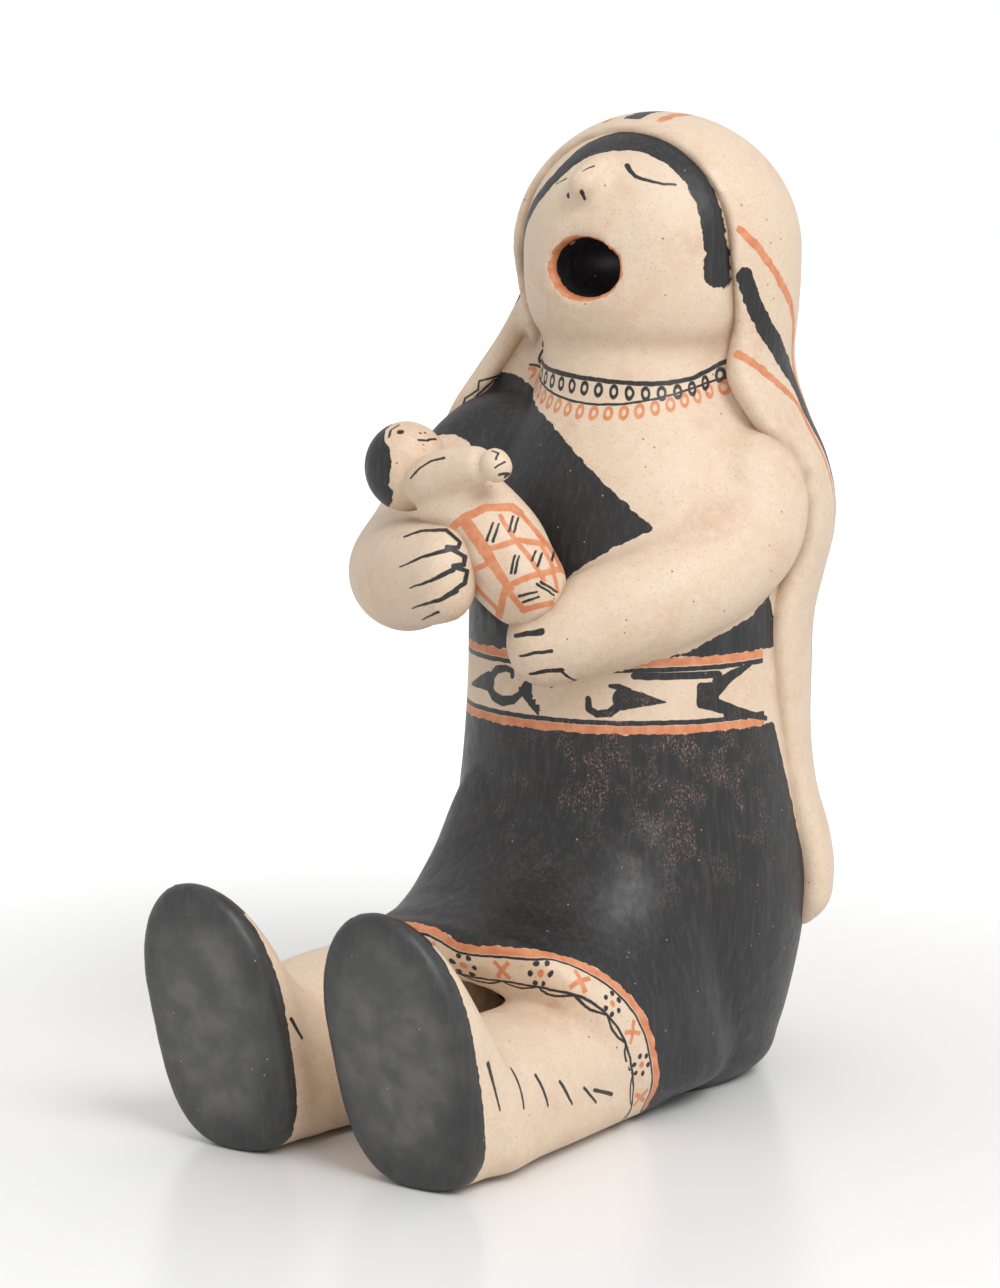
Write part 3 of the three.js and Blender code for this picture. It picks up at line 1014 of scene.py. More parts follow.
@dataclass
class PaintedClay:
    """The finish of one piece: cream slip with black and orange brushwork."""

    piece: bpy.types.Object
    clay: Clay
    sight: Sight
    box: Paintbox
    others: np.ndarray
    wobble: float = 0.5
    area_wobble: float = 1.5
    softness: float = 0.09

    def material(self, zone: Zone) -> bpy.types.Material:
        """The material of a zone: areas from the piece's attributes, strokes on its chart.

        Args:
            zone: the zone.
        Returns:
            The material.
        """
        paint = bpy.data.materials.new(f"painted clay, {zone.name}")
        paint.use_nodes = True
        bench = Bench(paint.node_tree)
        spot = bench.add("TexCoord", {}).outputs["Object"]
        place = bench.scaled(spot, 1 / METRE)
        shake = bench.vector("SUBTRACT", bench.noise(place, 0.45, 5, "Color"), (0.5, 0.5, 0.5))
        swing = bench.add("SeparateXYZ", {0: shake}).outputs[0]
        far = {}
        for slip in Slip:
            area = bench.add("Attribute", {}, attribute_name=slip.value).outputs["Fac"]
            far[slip] = bench.math("MULTIPLY_ADD", swing, self.area_wobble, area)
        if zone.strokes or zone.pattern:
            flat = bench.add("UVMap", {}, uv_map="chart").outputs[0]
            brushed = bench.vector("ADD", flat, bench.scaled(shake, self.wobble))
            for stroke in zone.strokes:
                far[stroke.slip] = self.laid(bench, brushed, zone.chart, stroke, far[stroke.slip])
            if zone.pattern:
                axes = bench.add("SeparateXYZ", {0: brushed}).outputs
                for slip, values in zone.pattern(bench, axes[0], axes[1]).items():
                    far[slip] = bench.least([far[slip], *values])
        share = {
            slip: self.box.edge.used(bench, {
                "Distance": far[slip], "Softness": self.softness,
            }).outputs[0] for slip in Slip
        }
        surface = self.box.surface.used(bench, {
            "Place": place, "Black": share[Slip.BLACK], "Orange": share[Slip.ORANGE],
            **{
                name.capitalize(): bench.add("Attribute", {}, attribute_name=name).outputs["Fac"]
                for name in ("grey", "worn", "hollow")
            },
        })
        shader = paint.node_tree.nodes["Principled BSDF"]
        bench.put(shader.inputs["Base Color"], surface.outputs["Color"])
        bench.put(shader.inputs["Roughness"], surface.outputs["Roughness"])
        bump = bench.add("Bump", {"Height": surface.outputs["Height"], "Distance": METRE})
        bench.put(shader.inputs["Normal"], bump.outputs[0])
        return paint

    def laid(
        self, bench: Bench, place: object, chart: object, stroke: Stroke, best: object
    ) -> object:
        """Adds one stroke's straight pieces, each a group node with its own numbers, to the
        smallest distance so far.

        Args:
            bench: the material's nodes.
            place: place on the chart.
            chart: the zone's chart.
            stroke: the brush mark.
            best: the smallest distance so far.
        Returns:
            The smallest distance.
        """
        least = 1e-6
        line = chart.read(self.sight.spots(stroke.pixels)[0])
        run = np.diff(line, axis=0)
        length = np.linalg.norm(run, axis=1)
        done = np.concatenate([[0], np.cumsum(length)]) / max(length.sum(), least)
        halves = stroke.start + (stroke.stop - stroke.start) * done
        for a, r, l, w, n in zip(line[:-1], run, length, halves[:-1], halves[1:]):
            best = self.box.stroke.used(bench, {
                "Place": place, "Start": (*map(float, a), 0.0), "Run": (*map(float, r), 0.0),
                "Share per mm2": float(1 / max(l * l, least)), "Half width": float(w),
                "Widening": float(n - w), "Others": best,
            }).outputs[0]
        return best

    def around(
        self, name: str, strokes: tuple[Stroke, ...], reach: float, square: bool = False
    ) -> Zone:
        """A zone with the faces near some strokes, on a flat chart.

        Args:
            name: the zone's name.
            strokes: the brush marks.
            reach: how far from their pixels' places the zone goes.
            square: whether the chart is square to the view, and not to the clay's mean normal.
        Returns:
            The zone.
        """
        spots, normals = self.sight.spots([p for s in strokes for p in s.pixels])
        facing = -np.array(self.sight.ahead) if square else normals.mean(0)
        centres, ways = self.faces()
        near = np.zeros(len(centres), bool)
        for spot in spots:
            near |= ((centres - spot) ** 2).sum(1) < reach**2
        least_facing = 0.1
        return Zone(name, Flat(facing), near & (ways @ facing > least_facing), strokes)

    def faces(self) -> tuple[np.ndarray, np.ndarray]:
        """The middles of the faces in the part's own frame, and the ways they face.

        Returns:
            Two arrays with one row for each face.
        """
        mesh = self.piece.data
        read = {}
        for key in ("center", "normal"):
            read[key] = np.empty(len(mesh.polygons) * 3, np.float32)
            mesh.polygons.foreach_get(key, read[key])
        centres = read["center"].reshape(-1, 3).astype(float) / METRE - SHIFT
        return centres, read["normal"].reshape(-1, 3).astype(float)

    def hollows(self) -> np.ndarray:
        """Share of painted shade and dirt at each point: how far its neighbours' mean lies outside
        the skin, evened out among neighbours, from none in flat places to all in a crease.

        Returns:
            One share for each point.
        """
        clay, rounds = self.clay, 3
        flat, crease = 0.015, 0.075
        move = clay.mean_of_neighbours(clay.points) - clay.points
        rise = (move * normals_of(clay.mesh)).sum(1, keepdims=True) / clay.grain
        for _ in range(rounds):
            rise = clay.mean_of_neighbours(rise)
        return smoothstep(flat, crease, rise[:, 0])

    def contacts(self) -> np.ndarray:
        """Share of painted shade and dirt where this piece meets the others: all in the small cubes
        that hold points of both, and evened out among neighbours.

        Returns:
            One share for each point.
        """
        size, rounds, most = 1.25, 3, 1024

        def cubes(points: np.ndarray) -> np.ndarray:
            """Numbers of the cubes that hold some points."""
            x, y, z = np.floor(points / size).astype(np.int64).T
            return (x * most + y) * most + z

        share = np.isin(cubes(self.clay.points), cubes(self.others)).astype(float)[:, None]
        for _ in range(rounds):
            share = self.clay.mean_of_neighbours(share)
        return share[:, 0]

    def dress(self, areas: dict[str, np.ndarray], zones: list[Zone]) -> None:
        """Gives the piece its attributes, its chart and one material for each zone.

        Args:
            areas: values over the points: distances to black and orange areas in
                millimetres, negative inside, and the shares of sooty-grey and worn surface.
            zones: the zones, the first of which wins where two meet.
        """
        mesh = self.piece.data
        # Painted shade with dirt: darkening in creases and where the pieces touch, stored as the
        # attribute hollow
        dirt_and_shade = np.maximum(self.hollows(), self.contacts())
        for name, values in {**areas, "hollow": dirt_and_shade}.items():
            attribute = mesh.attributes.new(name, "FLOAT", "POINT")
            attribute.data.foreach_set("value", values.astype(np.float32))
        corners = np.empty(len(mesh.loops), np.int32)
        mesh.loops.foreach_get("vertex_index", corners)
        sides = np.empty(len(mesh.polygons), np.int32)
        mesh.polygons.foreach_get("loop_total", sides)
        chart = np.zeros((len(corners), 2))
        index = np.zeros(len(sides), np.int32)
        plain = Zone("plain", Flat(np.array([0.0, -1.0, 0.0])), index == 0)
        for place, zone in enumerate([plain, *zones]):
            mesh.materials.append(self.material(zone))
            if place:
                fresh = zone.faces & (index == 0)
                index[fresh] = place
                at = np.repeat(fresh, sides)
                chart[at] = zone.chart.read(self.clay.points[corners[at]])
        mesh.polygons.foreach_set("material_index", index)
        layer = mesh.uv_layers.new(name="chart")
        layer.data.foreach_set("uv", chart.astype(np.float32).ravel())
        LOG.info("%s: %d zones", self.piece.name, len(zones))


# Brush marks, by where the photograph shows them

FACE = (
    Stroke(((627, 165), (630, 171), (635, 176), (643, 179.5), (653, 182), (664, 184), (675, 184.5)),
           0.5, 0.28),
    Stroke(((594, 166), (583, 171)), 0.22, 0.12),
    Stroke(((566, 179), (556, 184)), 0.22, 0.12),
    Stroke(((582, 193), (583, 195.5)), 0.5, 0.34),
    Stroke(((568, 194), (569, 197)), 0.4, 0.3),
)
HAIR_INNER = ((704, 287), (705, 242), (699, 211), (686, 183), (665, 162), (639, 151), (621, 150),
              (587, 157), (554, 185), (524, 240))
HAIR_OUTER = ((553, 176), (587, 143), (628, 130), (673, 142), (702, 164), (723, 207),
              (731, 250), (731, 292))
FAR_HAND = (
    Stroke(((404, 537), (421, 531), (446, 530)), 0.2, 0.4),
    Stroke(((400, 567), (422, 557), (452, 549)), 0.15, 0.5),
    Stroke(((447, 531), (460, 542), (458, 548), (447, 547)), 0.35, 0.45),
    Stroke(((410, 588), (430, 581), (453, 570)), 0.15, 0.55),
    Stroke(((453, 550), (465, 557), (464, 565), (453, 566)), 0.45, 0.5),
    Stroke(((412, 608), (440, 600), (456, 591)), 0.15, 0.6),
    Stroke(((453, 567), (467, 571), (465, 583), (455, 590)), 0.45, 0.45),
    Stroke(((422, 620), (438, 612)), 0.15, 0.3),
)
NEAR_HAND = (
    Stroke(((515, 636), (526, 634), (542, 632)), 0.35, 0.62),
    Stroke(((520, 656), (534, 653), (551, 651)), 0.25, 0.4),
    Stroke(((530, 674), (546, 671), (561, 670)), 0.3, 0.6),
    Stroke(((561, 671), (576, 680), (551, 687)), 0.3, 0.25),
)
NEAR_LEG = tuple(
    Stroke(((488 + 24 * i, 1064 + 6 * i), (500 + 24 * i, 1110 - 2 * i)), 0.58 - 0.05 * i, 0.3)
    for i in range(5)
) + (Stroke(((594, 1090), (612, 1094)), 0.35, 0.45),)
FAR_LEG = (Stroke(((291, 1019), (302, 1038)), 0.45, 0.35),)
BELT = (
    Stroke(((472, 684), (481, 682), (489, 681)), 0.3, 2.1),
    Stroke(((512, 676), (512, 671), (506, 668), (497, 670), (491, 677)), 0.55, 1.0),
    Stroke(((491, 677), (489, 686), (493, 695), (502, 701)), 1.1, 1.1),
    Stroke(((502, 701), (513, 700), (521, 693)), 1.1, 0.7),
    Stroke(((529, 691), (532, 700), (538, 714)), 2.2, 0.3),
    Stroke(((520, 689), (529, 697)), 0.5, 1.3),
    Stroke(((538, 706), (549, 689)), 1.1, 0.9),
    Stroke(((548, 689), (560, 686), (568, 694)), 1.3, 0.35),
    Stroke(((588, 699), (589, 709), (597, 714), (609, 713), (617, 707)), 0.65, 0.9),
    Stroke(((610, 686), (619, 687), (627, 692)), 0.4, 1.0),
    Stroke(((624, 699), (640, 700)), 2.3, 1.5),
    Stroke(((640, 700), (665, 702)), 1.5, 0.2),
    Stroke(((635, 676), (680, 676), (718, 674)), 0.8, 0.75),
    Stroke(((718, 676), (715, 687), (701, 687)), 1.1, 0.9),
    Stroke(((701, 688), (701, 704), (715, 706), (727, 708)), 0.9, 1.1),
    Stroke(((711, 692), (712, 701)), 1.7, 1.7),
    Stroke(((713, 691), (729, 677), (752, 663)), 1.7, 0.4),
    Stroke(((716, 705), (738, 712), (766, 718)), 1.4, 0.5),
    Stroke(((728, 713), (746, 717)), 1.2, 0.6),
)
BABY_HEAD = (
    Stroke(((400, 432), (401, 432)), 0.65, 0.65),
    Stroke(((389, 437), (391, 430), (399, 425)), 0.2, 0.25),
    Stroke(((430, 429), (435, 431)), 0.25, 0.3),
    Stroke(((420, 433), (420.5, 433)), 0.25, 0.25),
    Stroke(((425, 433), (425.5, 433)), 0.25, 0.25),
    Stroke(((418, 440), (427, 441), (436, 439)), 0.25, 0.25),
)
BABY_HAIR = ((395, 424), (386, 430), (385, 438), (389, 448), (392, 458), (394, 468), (391, 478),
             (390, 486), (395, 493), (393, 501), (389, 510), (352, 500), (340, 450), (360, 410))
BABY_BODY = (
    Stroke(((444, 458), (431, 461), (420, 468), (411, 478)), 0.3, 0.25),
    Stroke(((492, 451), (498, 453), (496, 459)), 0.2, 0.25),
    Stroke(((495, 468), (505, 462)), 0.2, 0.2),
    Stroke(((499, 475), (509, 474), (506, 478)), 0.2, 0.3),
)
BLANKET_LINES = (
    (((454, 526), (465, 517), (485, 508), (512, 507), (520, 513)), 0.8),
    (((469, 522), (483, 541), (498, 568), (508, 586)), 0.62),
    (((500, 516), (515, 540), (531, 559), (544, 580)), 0.48),
    (((520, 513), (535, 530), (553, 552), (564, 572)), 0.5),
    (((540, 543), (551, 562), (558, 592)), 0.4),
    (((481, 551), (496, 547), (519, 540), (545, 544)), 0.6),
    (((508, 586), (531, 576), (562, 569)), 0.62),
    (((466, 574), (489, 563)), 0.55),
    (((469, 578), (484, 596), (498, 610)), 0.4),
    (((505, 590), (499, 616)), 0.75),
    (((456, 611), (466, 588)), 0.7),
    (((458, 611), (482, 614)), 0.5),
    (((508, 590), (523, 610), (552, 603)), 0.6),
)
BLANKET = tuple(Stroke(line, half, half, Slip.ORANGE) for line, half in BLANKET_LINES) + tuple(
    Stroke(line, 0.3, 0.22) for line in (
        ((487, 540), (493, 523)), ((493, 541), (499, 524)), ((509, 531), (513, 516)),
        ((514, 532), (518, 518)), ((511, 573), (515, 555)), ((515, 573), (519, 556)),
        ((532, 560), (536, 551)), ((538, 566), (542, 553)), ((552, 560), (554, 552)),
        ((519, 596), (537, 592)), ((523, 602), (539, 597)), ((537, 584), (554, 595)),
        ((541, 582), (557, 592)),
    )
)
NECKLACE_BLACK = ((534, 330), (537, 352), (548, 364), (565, 374), (604, 385), (652, 381), (715, 367))
NECKLACE_FINE = ((521, 364), (543, 385), (572, 400), (604, 404), (647, 402), (684, 390), (722, 379))


@dataclass(frozen=True)
class Necklace:
    """A painted necklace: its line through the photograph's pixels and, in millimetres, half
    the line's thickness, the spacing of its rings and how far below it their middles hang."""

    pixels: Pixels
    half: float
    spacing: float
    drop: float
    slip: Slip
    ring_radius: float = 0.72
    ring_half: float = 0.29
    ring_squash: float = 0.66


NECKLACES = (
    Necklace(NECKLACE_BLACK, 0.48, 3.3, 2.0, Slip.BLACK),
    Necklace(NECKLACE_FINE, 0.24, 3.0, 1.75, Slip.ORANGE),
)
HEM = ((457, 945), (518, 952), (579, 964), (615, 985), (644, 1021), (656, 1070))
HEM_CROSSES = ((501, 964), (576, 974), (626, 1016), (642, 1097))
SHAWL_HATCH = (
    Stroke(((514, 370), (479, 381), (478, 390), (465, 398), (461, 413), (447, 426)), 0.25, 0.2),
    Stroke(((506, 377), (494, 380), (478, 394), (466, 410), (452, 420), (449, 431)), 0.22, 0.2),
)
WORN_PLACES = ((540, 795), (590, 770), (645, 745), (700, 765), (735, 800), (690, 825))


# Sub-assemblies

@dataclass
class Mother:
    """The mother's body: trunk and skirt, lap, legs with soles, head, nose and arms."""

    grain: float = 1.0
    trunk: Rows = field(default_factory=lambda: [
        (0, 2, 24, 26, 22, 2.2),
        (3, 2, 27.5, 30, 26, 2.2),
        (10, 1.5, 30.4, 34, 29.4, 2.2),
        (20, 1, 33.6, 36, 32.6, 2.1),
        (32, 0.5, 36, 36, 35, 2.1),
        (44, 0.5, 37, 36, 36, 2.1),
        (56, 0, 35.8, 34.5, 35, 2.1),
        (70, 0, 34.2, 33.5, 34, 2.1),
        (84, 0, 33.2, 33, 33, 2.1),
        (100, 0, 33, 32.5, 33, 2.1),
        (116, 0.5, 32.5, 30.5, 33, 2.1),
        (128, 1.5, 30.5, 27.5, 32, 2.1),
        (135, 2.5, 27, 24.5, 29, 2),
        (141, 3.5, 22.8, 22, 25, 2),
        (148, 4, 20.8, 21, 22, 2),
        (158, 5, 20, 20, 22, 2),
    ])
    lap: Rows = field(default_factory=lambda: [
        (-38, -3, 31, 33.5, 0.45, 0.66, 2.6),
        (-36.5, -3, 33, 37.5, 0.42, 0.64, 2.6),
        (-31, -2.8, 34.5, 41.5, 0.4, 0.58, 2.5),
        (-25, -2.5, 35, 45.5, 0.36, 0.45, 2.4),
        (-20, -2.3, 35.5, 53.5, 0.3, 0.33, 2.3),
        (-17, -1.8, 35, 63, 0.26, 0.26, 2.2),
        (-14, -1, 34, 74, 0.22, 0.22, 2.2),
        (-6, -0.5, 31, 84, 0.2, 0.15, 2.2),
    ])
    gap: Rows = field(default_factory=lambda: [
        (-60, -2.5, 16.5, 29.5, 0.5, 0, 2.6),
        (-34, -3.5, 13, 27, 0.5, 0, 2.4),
        (-18, -5, 7, 22, 0.5, 0, 2.2),
    ])
    near_arm: Rows = field(default_factory=lambda: [
        (20, 6, 132, 11.4, 11.5),
        (25.3, 3.8, 126, 12.7, 12.8),
        (27.2, -0.2, 117, 12.9, 13),
        (26.9, -10.2, 110, 12.2, 12.2),
        (23.5, -21, 105, 11.5, 11.5),
        (16, -31, 100.3, 10.5, 10.5),
        (8.5, -38, 96.3, 8.8, 9.2),
        (3, -41, 94, 7.5, 8.5),
        (-0.5, -42, 93, 6.8, 7.5),
    ])
    far_arm: Rows = field(default_factory=lambda: [
        (-18, 2, 131, 12, 12),
        (-28, -5, 129, 13.2, 13.2),
        (-33.5, -16, 120, 12.3, 12.3),
        (-33.5, -27, 111.5, 11.6, 11.6),
        (-30.5, -36.5, 107.2, 11.6, 11.6),
        (-25, -43, 107, 11.3, 11.5),
        (-18, -49.5, 108.3, 9.5, 10.6),
        (-10, -54.3, 109.2, 8, 10),
        (-4, -57, 109.8, 6.4, 9),
        (0.3, -58.4, 110.2, 4.8, 7.5),
    ])
    head: tuple[tuple[float, ...], tuple[float, ...]] = ((1, 4, 172.5), (25.5, 25, 24.5))
    jaw: float = 3.2
    nose: Rows = field(default_factory=lambda: [
        (2.5, -12.5, 189.5, 2.8, 2.6),
        (2.0, -16.5, 187, 3.3, 2.9),
        (1.4, -20, 184.4, 3.2, 2.8),
        (1.2, -22.2, 182.9, 2.6, 2.4),
    ])
    mouth: Rows = field(default_factory=lambda: [
        (1.6, -26.5, 168.2, 9, 6.9),
        (1.6, -20.5, 168.2, 8.4, 6.3),
        (1.6, -13, 168.6, 7.8, 5.8),
        (1.6, -5.5, 169, 6.3, 4.7),
    ])
    lip: tuple[float, float, float] = (1.6, -20.5, 168)
    creases: Rows = field(default_factory=lambda: [
        (20, -16, 128, 9, 1.0),
        (22, 4, 144, 6, 0.8),
        (-24, 2, 144, 6, 0.8),
        (3, -15, 193, 4, 1.0),
        (34, -9, 10, 10, 1.0),
        (36, -11, 30, 14, 1.0),
        (35, -14, 52, 12, 1.0),
        (-34, -9, 10, 10, 1.0),
        (-36, -11, 30, 14, 1.0),
        (-35, -14, 52, 12, 1.0),
        (-18, -16, 126, 8, 0.8),
        (0, -32, 62, 16, 1.0),
        (-22, -28, 58, 12, 1.0),
        (22, -28, 58, 12, 1.0),
        (12, -88, 28, 8, 0.5),
        (-28, -88, 34, 8, 0.5),
    ])
    sole_front: float = -97.5
    sole_height: float = 52.6
    sole_half_width: float = 16.3
    near_leg: tuple[float, ...] = (15.7, 14, 26.5, 26, 2.05)
    far_leg: tuple[float, ...] = (-28.9, -20, 34.5, 31, 2.35)
    sole_lean: float = 0.13
    sole_edge: float = -93.2
    ankle_lean: tuple[float, float, float, float] = (0.085, 22, -70, 22)
    between_legs: float = -8
    ground_line: float = 0.9
    ground_line_behind: float = -36
    dress_top: Rows = field(default_factory=lambda: [
        (-40, 147), (-27.4, 145.6), (-5.7, 136.9), (5.5, 129.7), (14.8, 123.1), (25, 114),
        (34, 106), (45, 100),
    ])
    dress_top_slant: float = 0.84
    dress_side: Rows = field(default_factory=lambda: [
        (31, 50), (38, 30), (45.4, 12.6), (59, 8.4), (68.5, 5.2), (75, 3), (78, 1.4), (90, 0),
        (92, 3.8), (97, 3.7), (102, 1.3), (112, 1),
    ])
    shawl_bottom: float = 31
    belt_levels: tuple[float, float] = (84.2, 7.6)
    belt_end: float = 51.5
    waist_radius: float = 33.5
    arm_margin: float = 1.1
    hands_from: float = -38.5
    sleeve_end: float = -20
    lap_top: float = 48
    lap_front: float = -44
    lap_lean: float = 0.66
    hem_half: float = 0.8
    far_hem_rise: float = 1.06
    hem_middle: tuple[float, float, float] = (-3, -25, 10)
    hem_foot: tuple[float, float, float] = (31.5, -35.5, 1)
    mouth_middle: tuple[float, float, float] = (1.6, -20.5, 168.1)
    mouth_half: tuple[float, float, float] = (8.5, 0, 6.4)
    # Depth past which the inside of the mouth is black: painted shade of the hollow head
    mouth_shade_from: float = -17.6
    lips_reach: float = 1.04
    brow_facing: tuple[float, float, float] = (0.05, -0.8, 0.6)
    chin: float = 156
    neck_axis: tuple[float, float] = (0.5, 3)
    neck_radius: float = 21
    far_necklace: float = 24.5
    neck_band: tuple[float, float, float, float] = (145, 13, 6, -10)
    hem_band: tuple[float, float] = (-9, 2.5)

    def leg(self, foot: float, hip: float, height: float, ankle: float, round_top: float) -> Surface:
        """The sole, ankle and straight leg, as one row of arches.

        Args:
            foot: middle of the sole across.
            hip: middle of the leg's upper end across.
            height: top of the leg.
            ankle: top of the ankle.
            round_top: squareness of the leg's upper half.
        Returns:
            The closed skin.
        """
        front, w, h = self.sole_front, self.sole_half_width, self.sole_height
        shift = hip - foot
        table = [
            (front, foot, 0.6, h * 0.54, 0.99, 0.17, 2),
            (front + 0.25, foot, w * 0.4, h * 0.73, 0.74, 0.17, 2),
            (front + 0.7, foot, w * 0.7, h * 0.87, 0.63, 0.17, 2),
            (front + 1.4, foot, w * 0.88, h * 0.95, 0.585, 0.17, 2.05),
            (front + 2.6, foot, w * 0.97, h * 0.99, 0.565, 0.17, 2.05),
            (-92, foot, w, h, 0.56, 0.17, 2.05),
            (-89, foot, w, h * 0.95, 0.56, 0.17, 2.1),
            (-86, foot, w * 0.98, h * 0.81, 0.54, 0.16, 2.25),
            (-83, foot, 16.5, ankle + 4.5, 0.52, 0.12, 2.3),
            (-80, foot, 16.3, ankle + 1, 0.5, 0.08, 2.4),
            (-76, foot + 0.1 * shift, 16.2, ankle + 0.5, 0.5, 0.04, 2.4),
            (-70, foot + 0.3 * shift, 16.2, (ankle + height) / 2 + 0.5, 0.5, 0, round_top + 0.1),
            (-60, foot + 0.6 * shift, 16.4, height, 0.5, 0, round_top),
            (-40, hip, 16, height, 0.5, 0, round_top),
            (-26, hip, 15.5, height, 0.5, 0, round_top),
        ]
        stations = np.concatenate([
            front + 5 * np.linspace(0, 1, 20) ** 2, np.linspace(-91.5, -26, 62)
        ])
        return crossing(table, stations, 96, self.ankle_lean)

    def yoke(self) -> Surface:
        """Clay between the neck and the shawl: level sections, each the shawl's arc made
        smaller, closed in front by a straight line.

        Returns:
            The closed skin.
        """
        z = np.linspace(112, 158, 50)
        back, near, far, rear, near_edge, far_edge, thick = along(Shawl().curtain, z).T[:, :, None]
        s = np.linspace(0, 1, 90)[None, :]
        angle = np.radians(near_edge * (1 - s) - far_edge * s)
        overlap, bend = 1.5, 2 / SHAWL_SQUARE
        shrink = thick - overlap
        x = (np.where(angle >= 0, near, far) - shrink) * power(np.sin(angle), bend)
        y = back + (rear - shrink) * power(np.cos(angle), bend)
        return skin(np.stack([x, y, z[:, None] + 0 * x], -1))

    def build(self) -> bpy.types.Object:
        """Joins the lofts, cuts the mouth and the gap between the legs, and smooths the clay.

        Returns:
            The mother's piece.
        """
        gap = crossing(self.gap, np.linspace(-60, -18, 24), 64)
        head = cut(egg(*self.head, 128, 90, self.jaw), limb(self.mouth, 64, 40))
        clay = Clay("mother", [
            cut(standing(self.trunk, np.linspace(0, 158, 120), 128), gap),
            cut(crossing(self.lap, np.linspace(-38, -6, 60), 128), gap),
            self.leg(*self.near_leg),
            self.leg(*self.far_leg),
            head,
            self.yoke(),
            limb(self.nose, 32, 24),
            limb(self.near_arm, 64, 80),
            limb(self.far_arm, 64, 80),
        ], self.grain)
        clay.relax(3)
        away_from_lip = 1 - clay.near([(*self.lip, 9, 1.0)])
        clay.soften(6, clay.near([(*self.lip, 6, 1.0)]))
        clay.fill_creases(14, away_from_lip)
        clay.fill_creases(90, clay.near(self.creases))
        clay.relax(6)
        self.clay = clay
        return clay.finished()

    def dress_distance(self, sight: Sight) -> np.ndarray:
        """Distance to the dress, which ends above at a slanting edge across the chest, below at
        the hem and at the side where the shawl begins, and which leaves out the belt, the hands
        and the arms from the far elbow on.

        Args:
            sight: the photograph's viewpoint.
        Returns:
            One distance in millimetres for each point, negative inside.
        """
        points = self.clay.points
        x, y, z = points.T
        top = (z - np.interp(x, *np.array(self.dress_top).T)) * self.dress_top_slant
        beside = y - np.interp(z, *np.array(self.dress_side).T)
        side = np.where(z > self.shawl_bottom, beside, -BEYOND)
        middle, half = self.belt_levels
        belt = half - np.abs(z - middle)
        near = self.arm_margin - off_limb(points, self.near_arm)
        far = np.minimum(self.arm_margin - off_limb(points, self.far_arm), self.sleeve_end - y)
        hem = np.full(len(points), -BEYOND)
        low = z < self.lap_top
        hem[low] = np.maximum(
            self.hem_half - self.hem(sight).read(points[low])[:, 1],
            self.lap_front - (y + self.lap_lean * z)[low],
        )
        hands = np.where((z > middle) & (y < self.hands_from), BEYOND, -BEYOND)
        return np.maximum.reduce([top, side, belt, near, far, hem, hands])

    def marks(self, sight: Sight) -> dict[str, np.ndarray]:
        """Distances to the painted areas, with the black deep inside the mouth as painted shade of
        the hollow head, and where the black is grey or worn.

        Args:
            sight: the photograph's viewpoint.
        Returns:
            Values for each point: millimetres, negative inside, and shares.
        """
        points = self.clay.points
        x, y, z = points.T
        sole = y + self.sole_lean * z - self.sole_edge
        (mx, _, mz), (wide, _, high) = self.mouth_middle, self.mouth_half
        ring, size = np.hypot((x - mx) / wide, (z - mz) / high), math.sqrt(wide * high)
        front = np.where(y > 0, BEYOND, -BEYOND)
        # Painted shade: black deep inside the mouth stands for the dark of the hollow head beyond the
        # lips
        mouth_shade = np.maximum.reduce([(ring - 1.0) * size, self.mouth_shade_from - y, front])
        lips = np.maximum((ring - self.lips_reach) * size, front)
        chart = Flat(np.array(self.brow_facing))
        hair = np.full(len(points), BEYOND)
        head = z > self.chin
        hair[head] = within(chart.read(points[head]), self.hair_outline(sight, chart))
        worn_reach, rim_start, rim_dark = 9.0, 0.55, 0.75
        worn = self.clay.near([(*spot, worn_reach, 1.0) for spot in sight.spots(WORN_PLACES)[0]])
        foot = np.where(x > self.between_legs, self.near_leg[0], self.far_leg[0])
        level = self.sole_height / 2
        from_middle = np.hypot((x - foot) / self.sole_half_width, z / level - 1)
        soot = 1 - rim_dark * smoothstep(rim_start, 1.0, from_middle)
        ground = np.where(y > self.ground_line_behind, z - self.ground_line, BEYOND)
        return {
            "black": np.minimum.reduce([self.dress_distance(sight), sole, mouth_shade, hair]),
            "orange": np.minimum(lips, ground),
            "grey": smoothstep(1.0, -1.0, sole) * soot,
            "worn": worn,
        }

    def hair_outline(self, sight: Sight, chart: Flat) -> np.ndarray:
        """The band of hair round the face: its inner edge, then its outer edge back, with the
        near side's ends repeated on the far side.

        Args:
            sight: the photograph's viewpoint.
            chart: the chart of the face.
        Returns:
            The outline's corners on the chart.
        """
        inner, outer = (chart.read(sight.spots(line)[0]) for line in (HAIR_INNER, HAIR_OUTER))
        middle = chart.read(np.array([self.head[0]]))[0, 0]

        def other(places: np.ndarray) -> np.ndarray:
            """The same places on the other side of the face."""
            return np.column_stack([2 * middle - places[:, 0], places[:, 1]])

        return rounded(np.vstack([
            inner, other(inner[:1]), other(outer[-1:]), other(outer[-2:-1]), outer,
        ]))

    def hem(self, sight: Sight) -> Ribbon:
        """The line of the hem's orange edge: read on the near side, mirrored, and laid on the
        clay.

        Args:
            sight: the photograph's viewpoint.
        Returns:
            The chart along the line.
        """
        middle = np.array(self.hem_middle)
        half = np.vstack([sight.spots(HEM)[0], self.hem_foot])
        far = half[::-1] * [-1, 1, self.far_hem_rise] + [2 * middle[0], 0, 0]
        return Ribbon(sight.nearest(smooth_line(np.vstack([far, half]), 90)), middle)

    def necklaces(self, sight: Sight, chart: Around) -> Pattern:
        """A thick black line with black rings hung under it, and a fine line with orange rings:
        each line's height is a curve of the fourth degree in the place round the neck.

        Args:
            sight: the photograph's viewpoint.
            chart: the chart round the neck.
        Returns:
            The pattern.
        """
        degree = 4
        curves = []
        for necklace in NECKLACES:
            u, v = chart.read(sight.spots(necklace.pixels)[0]).T
            curves.append(np.polyfit(u / self.neck_radius, v, degree))

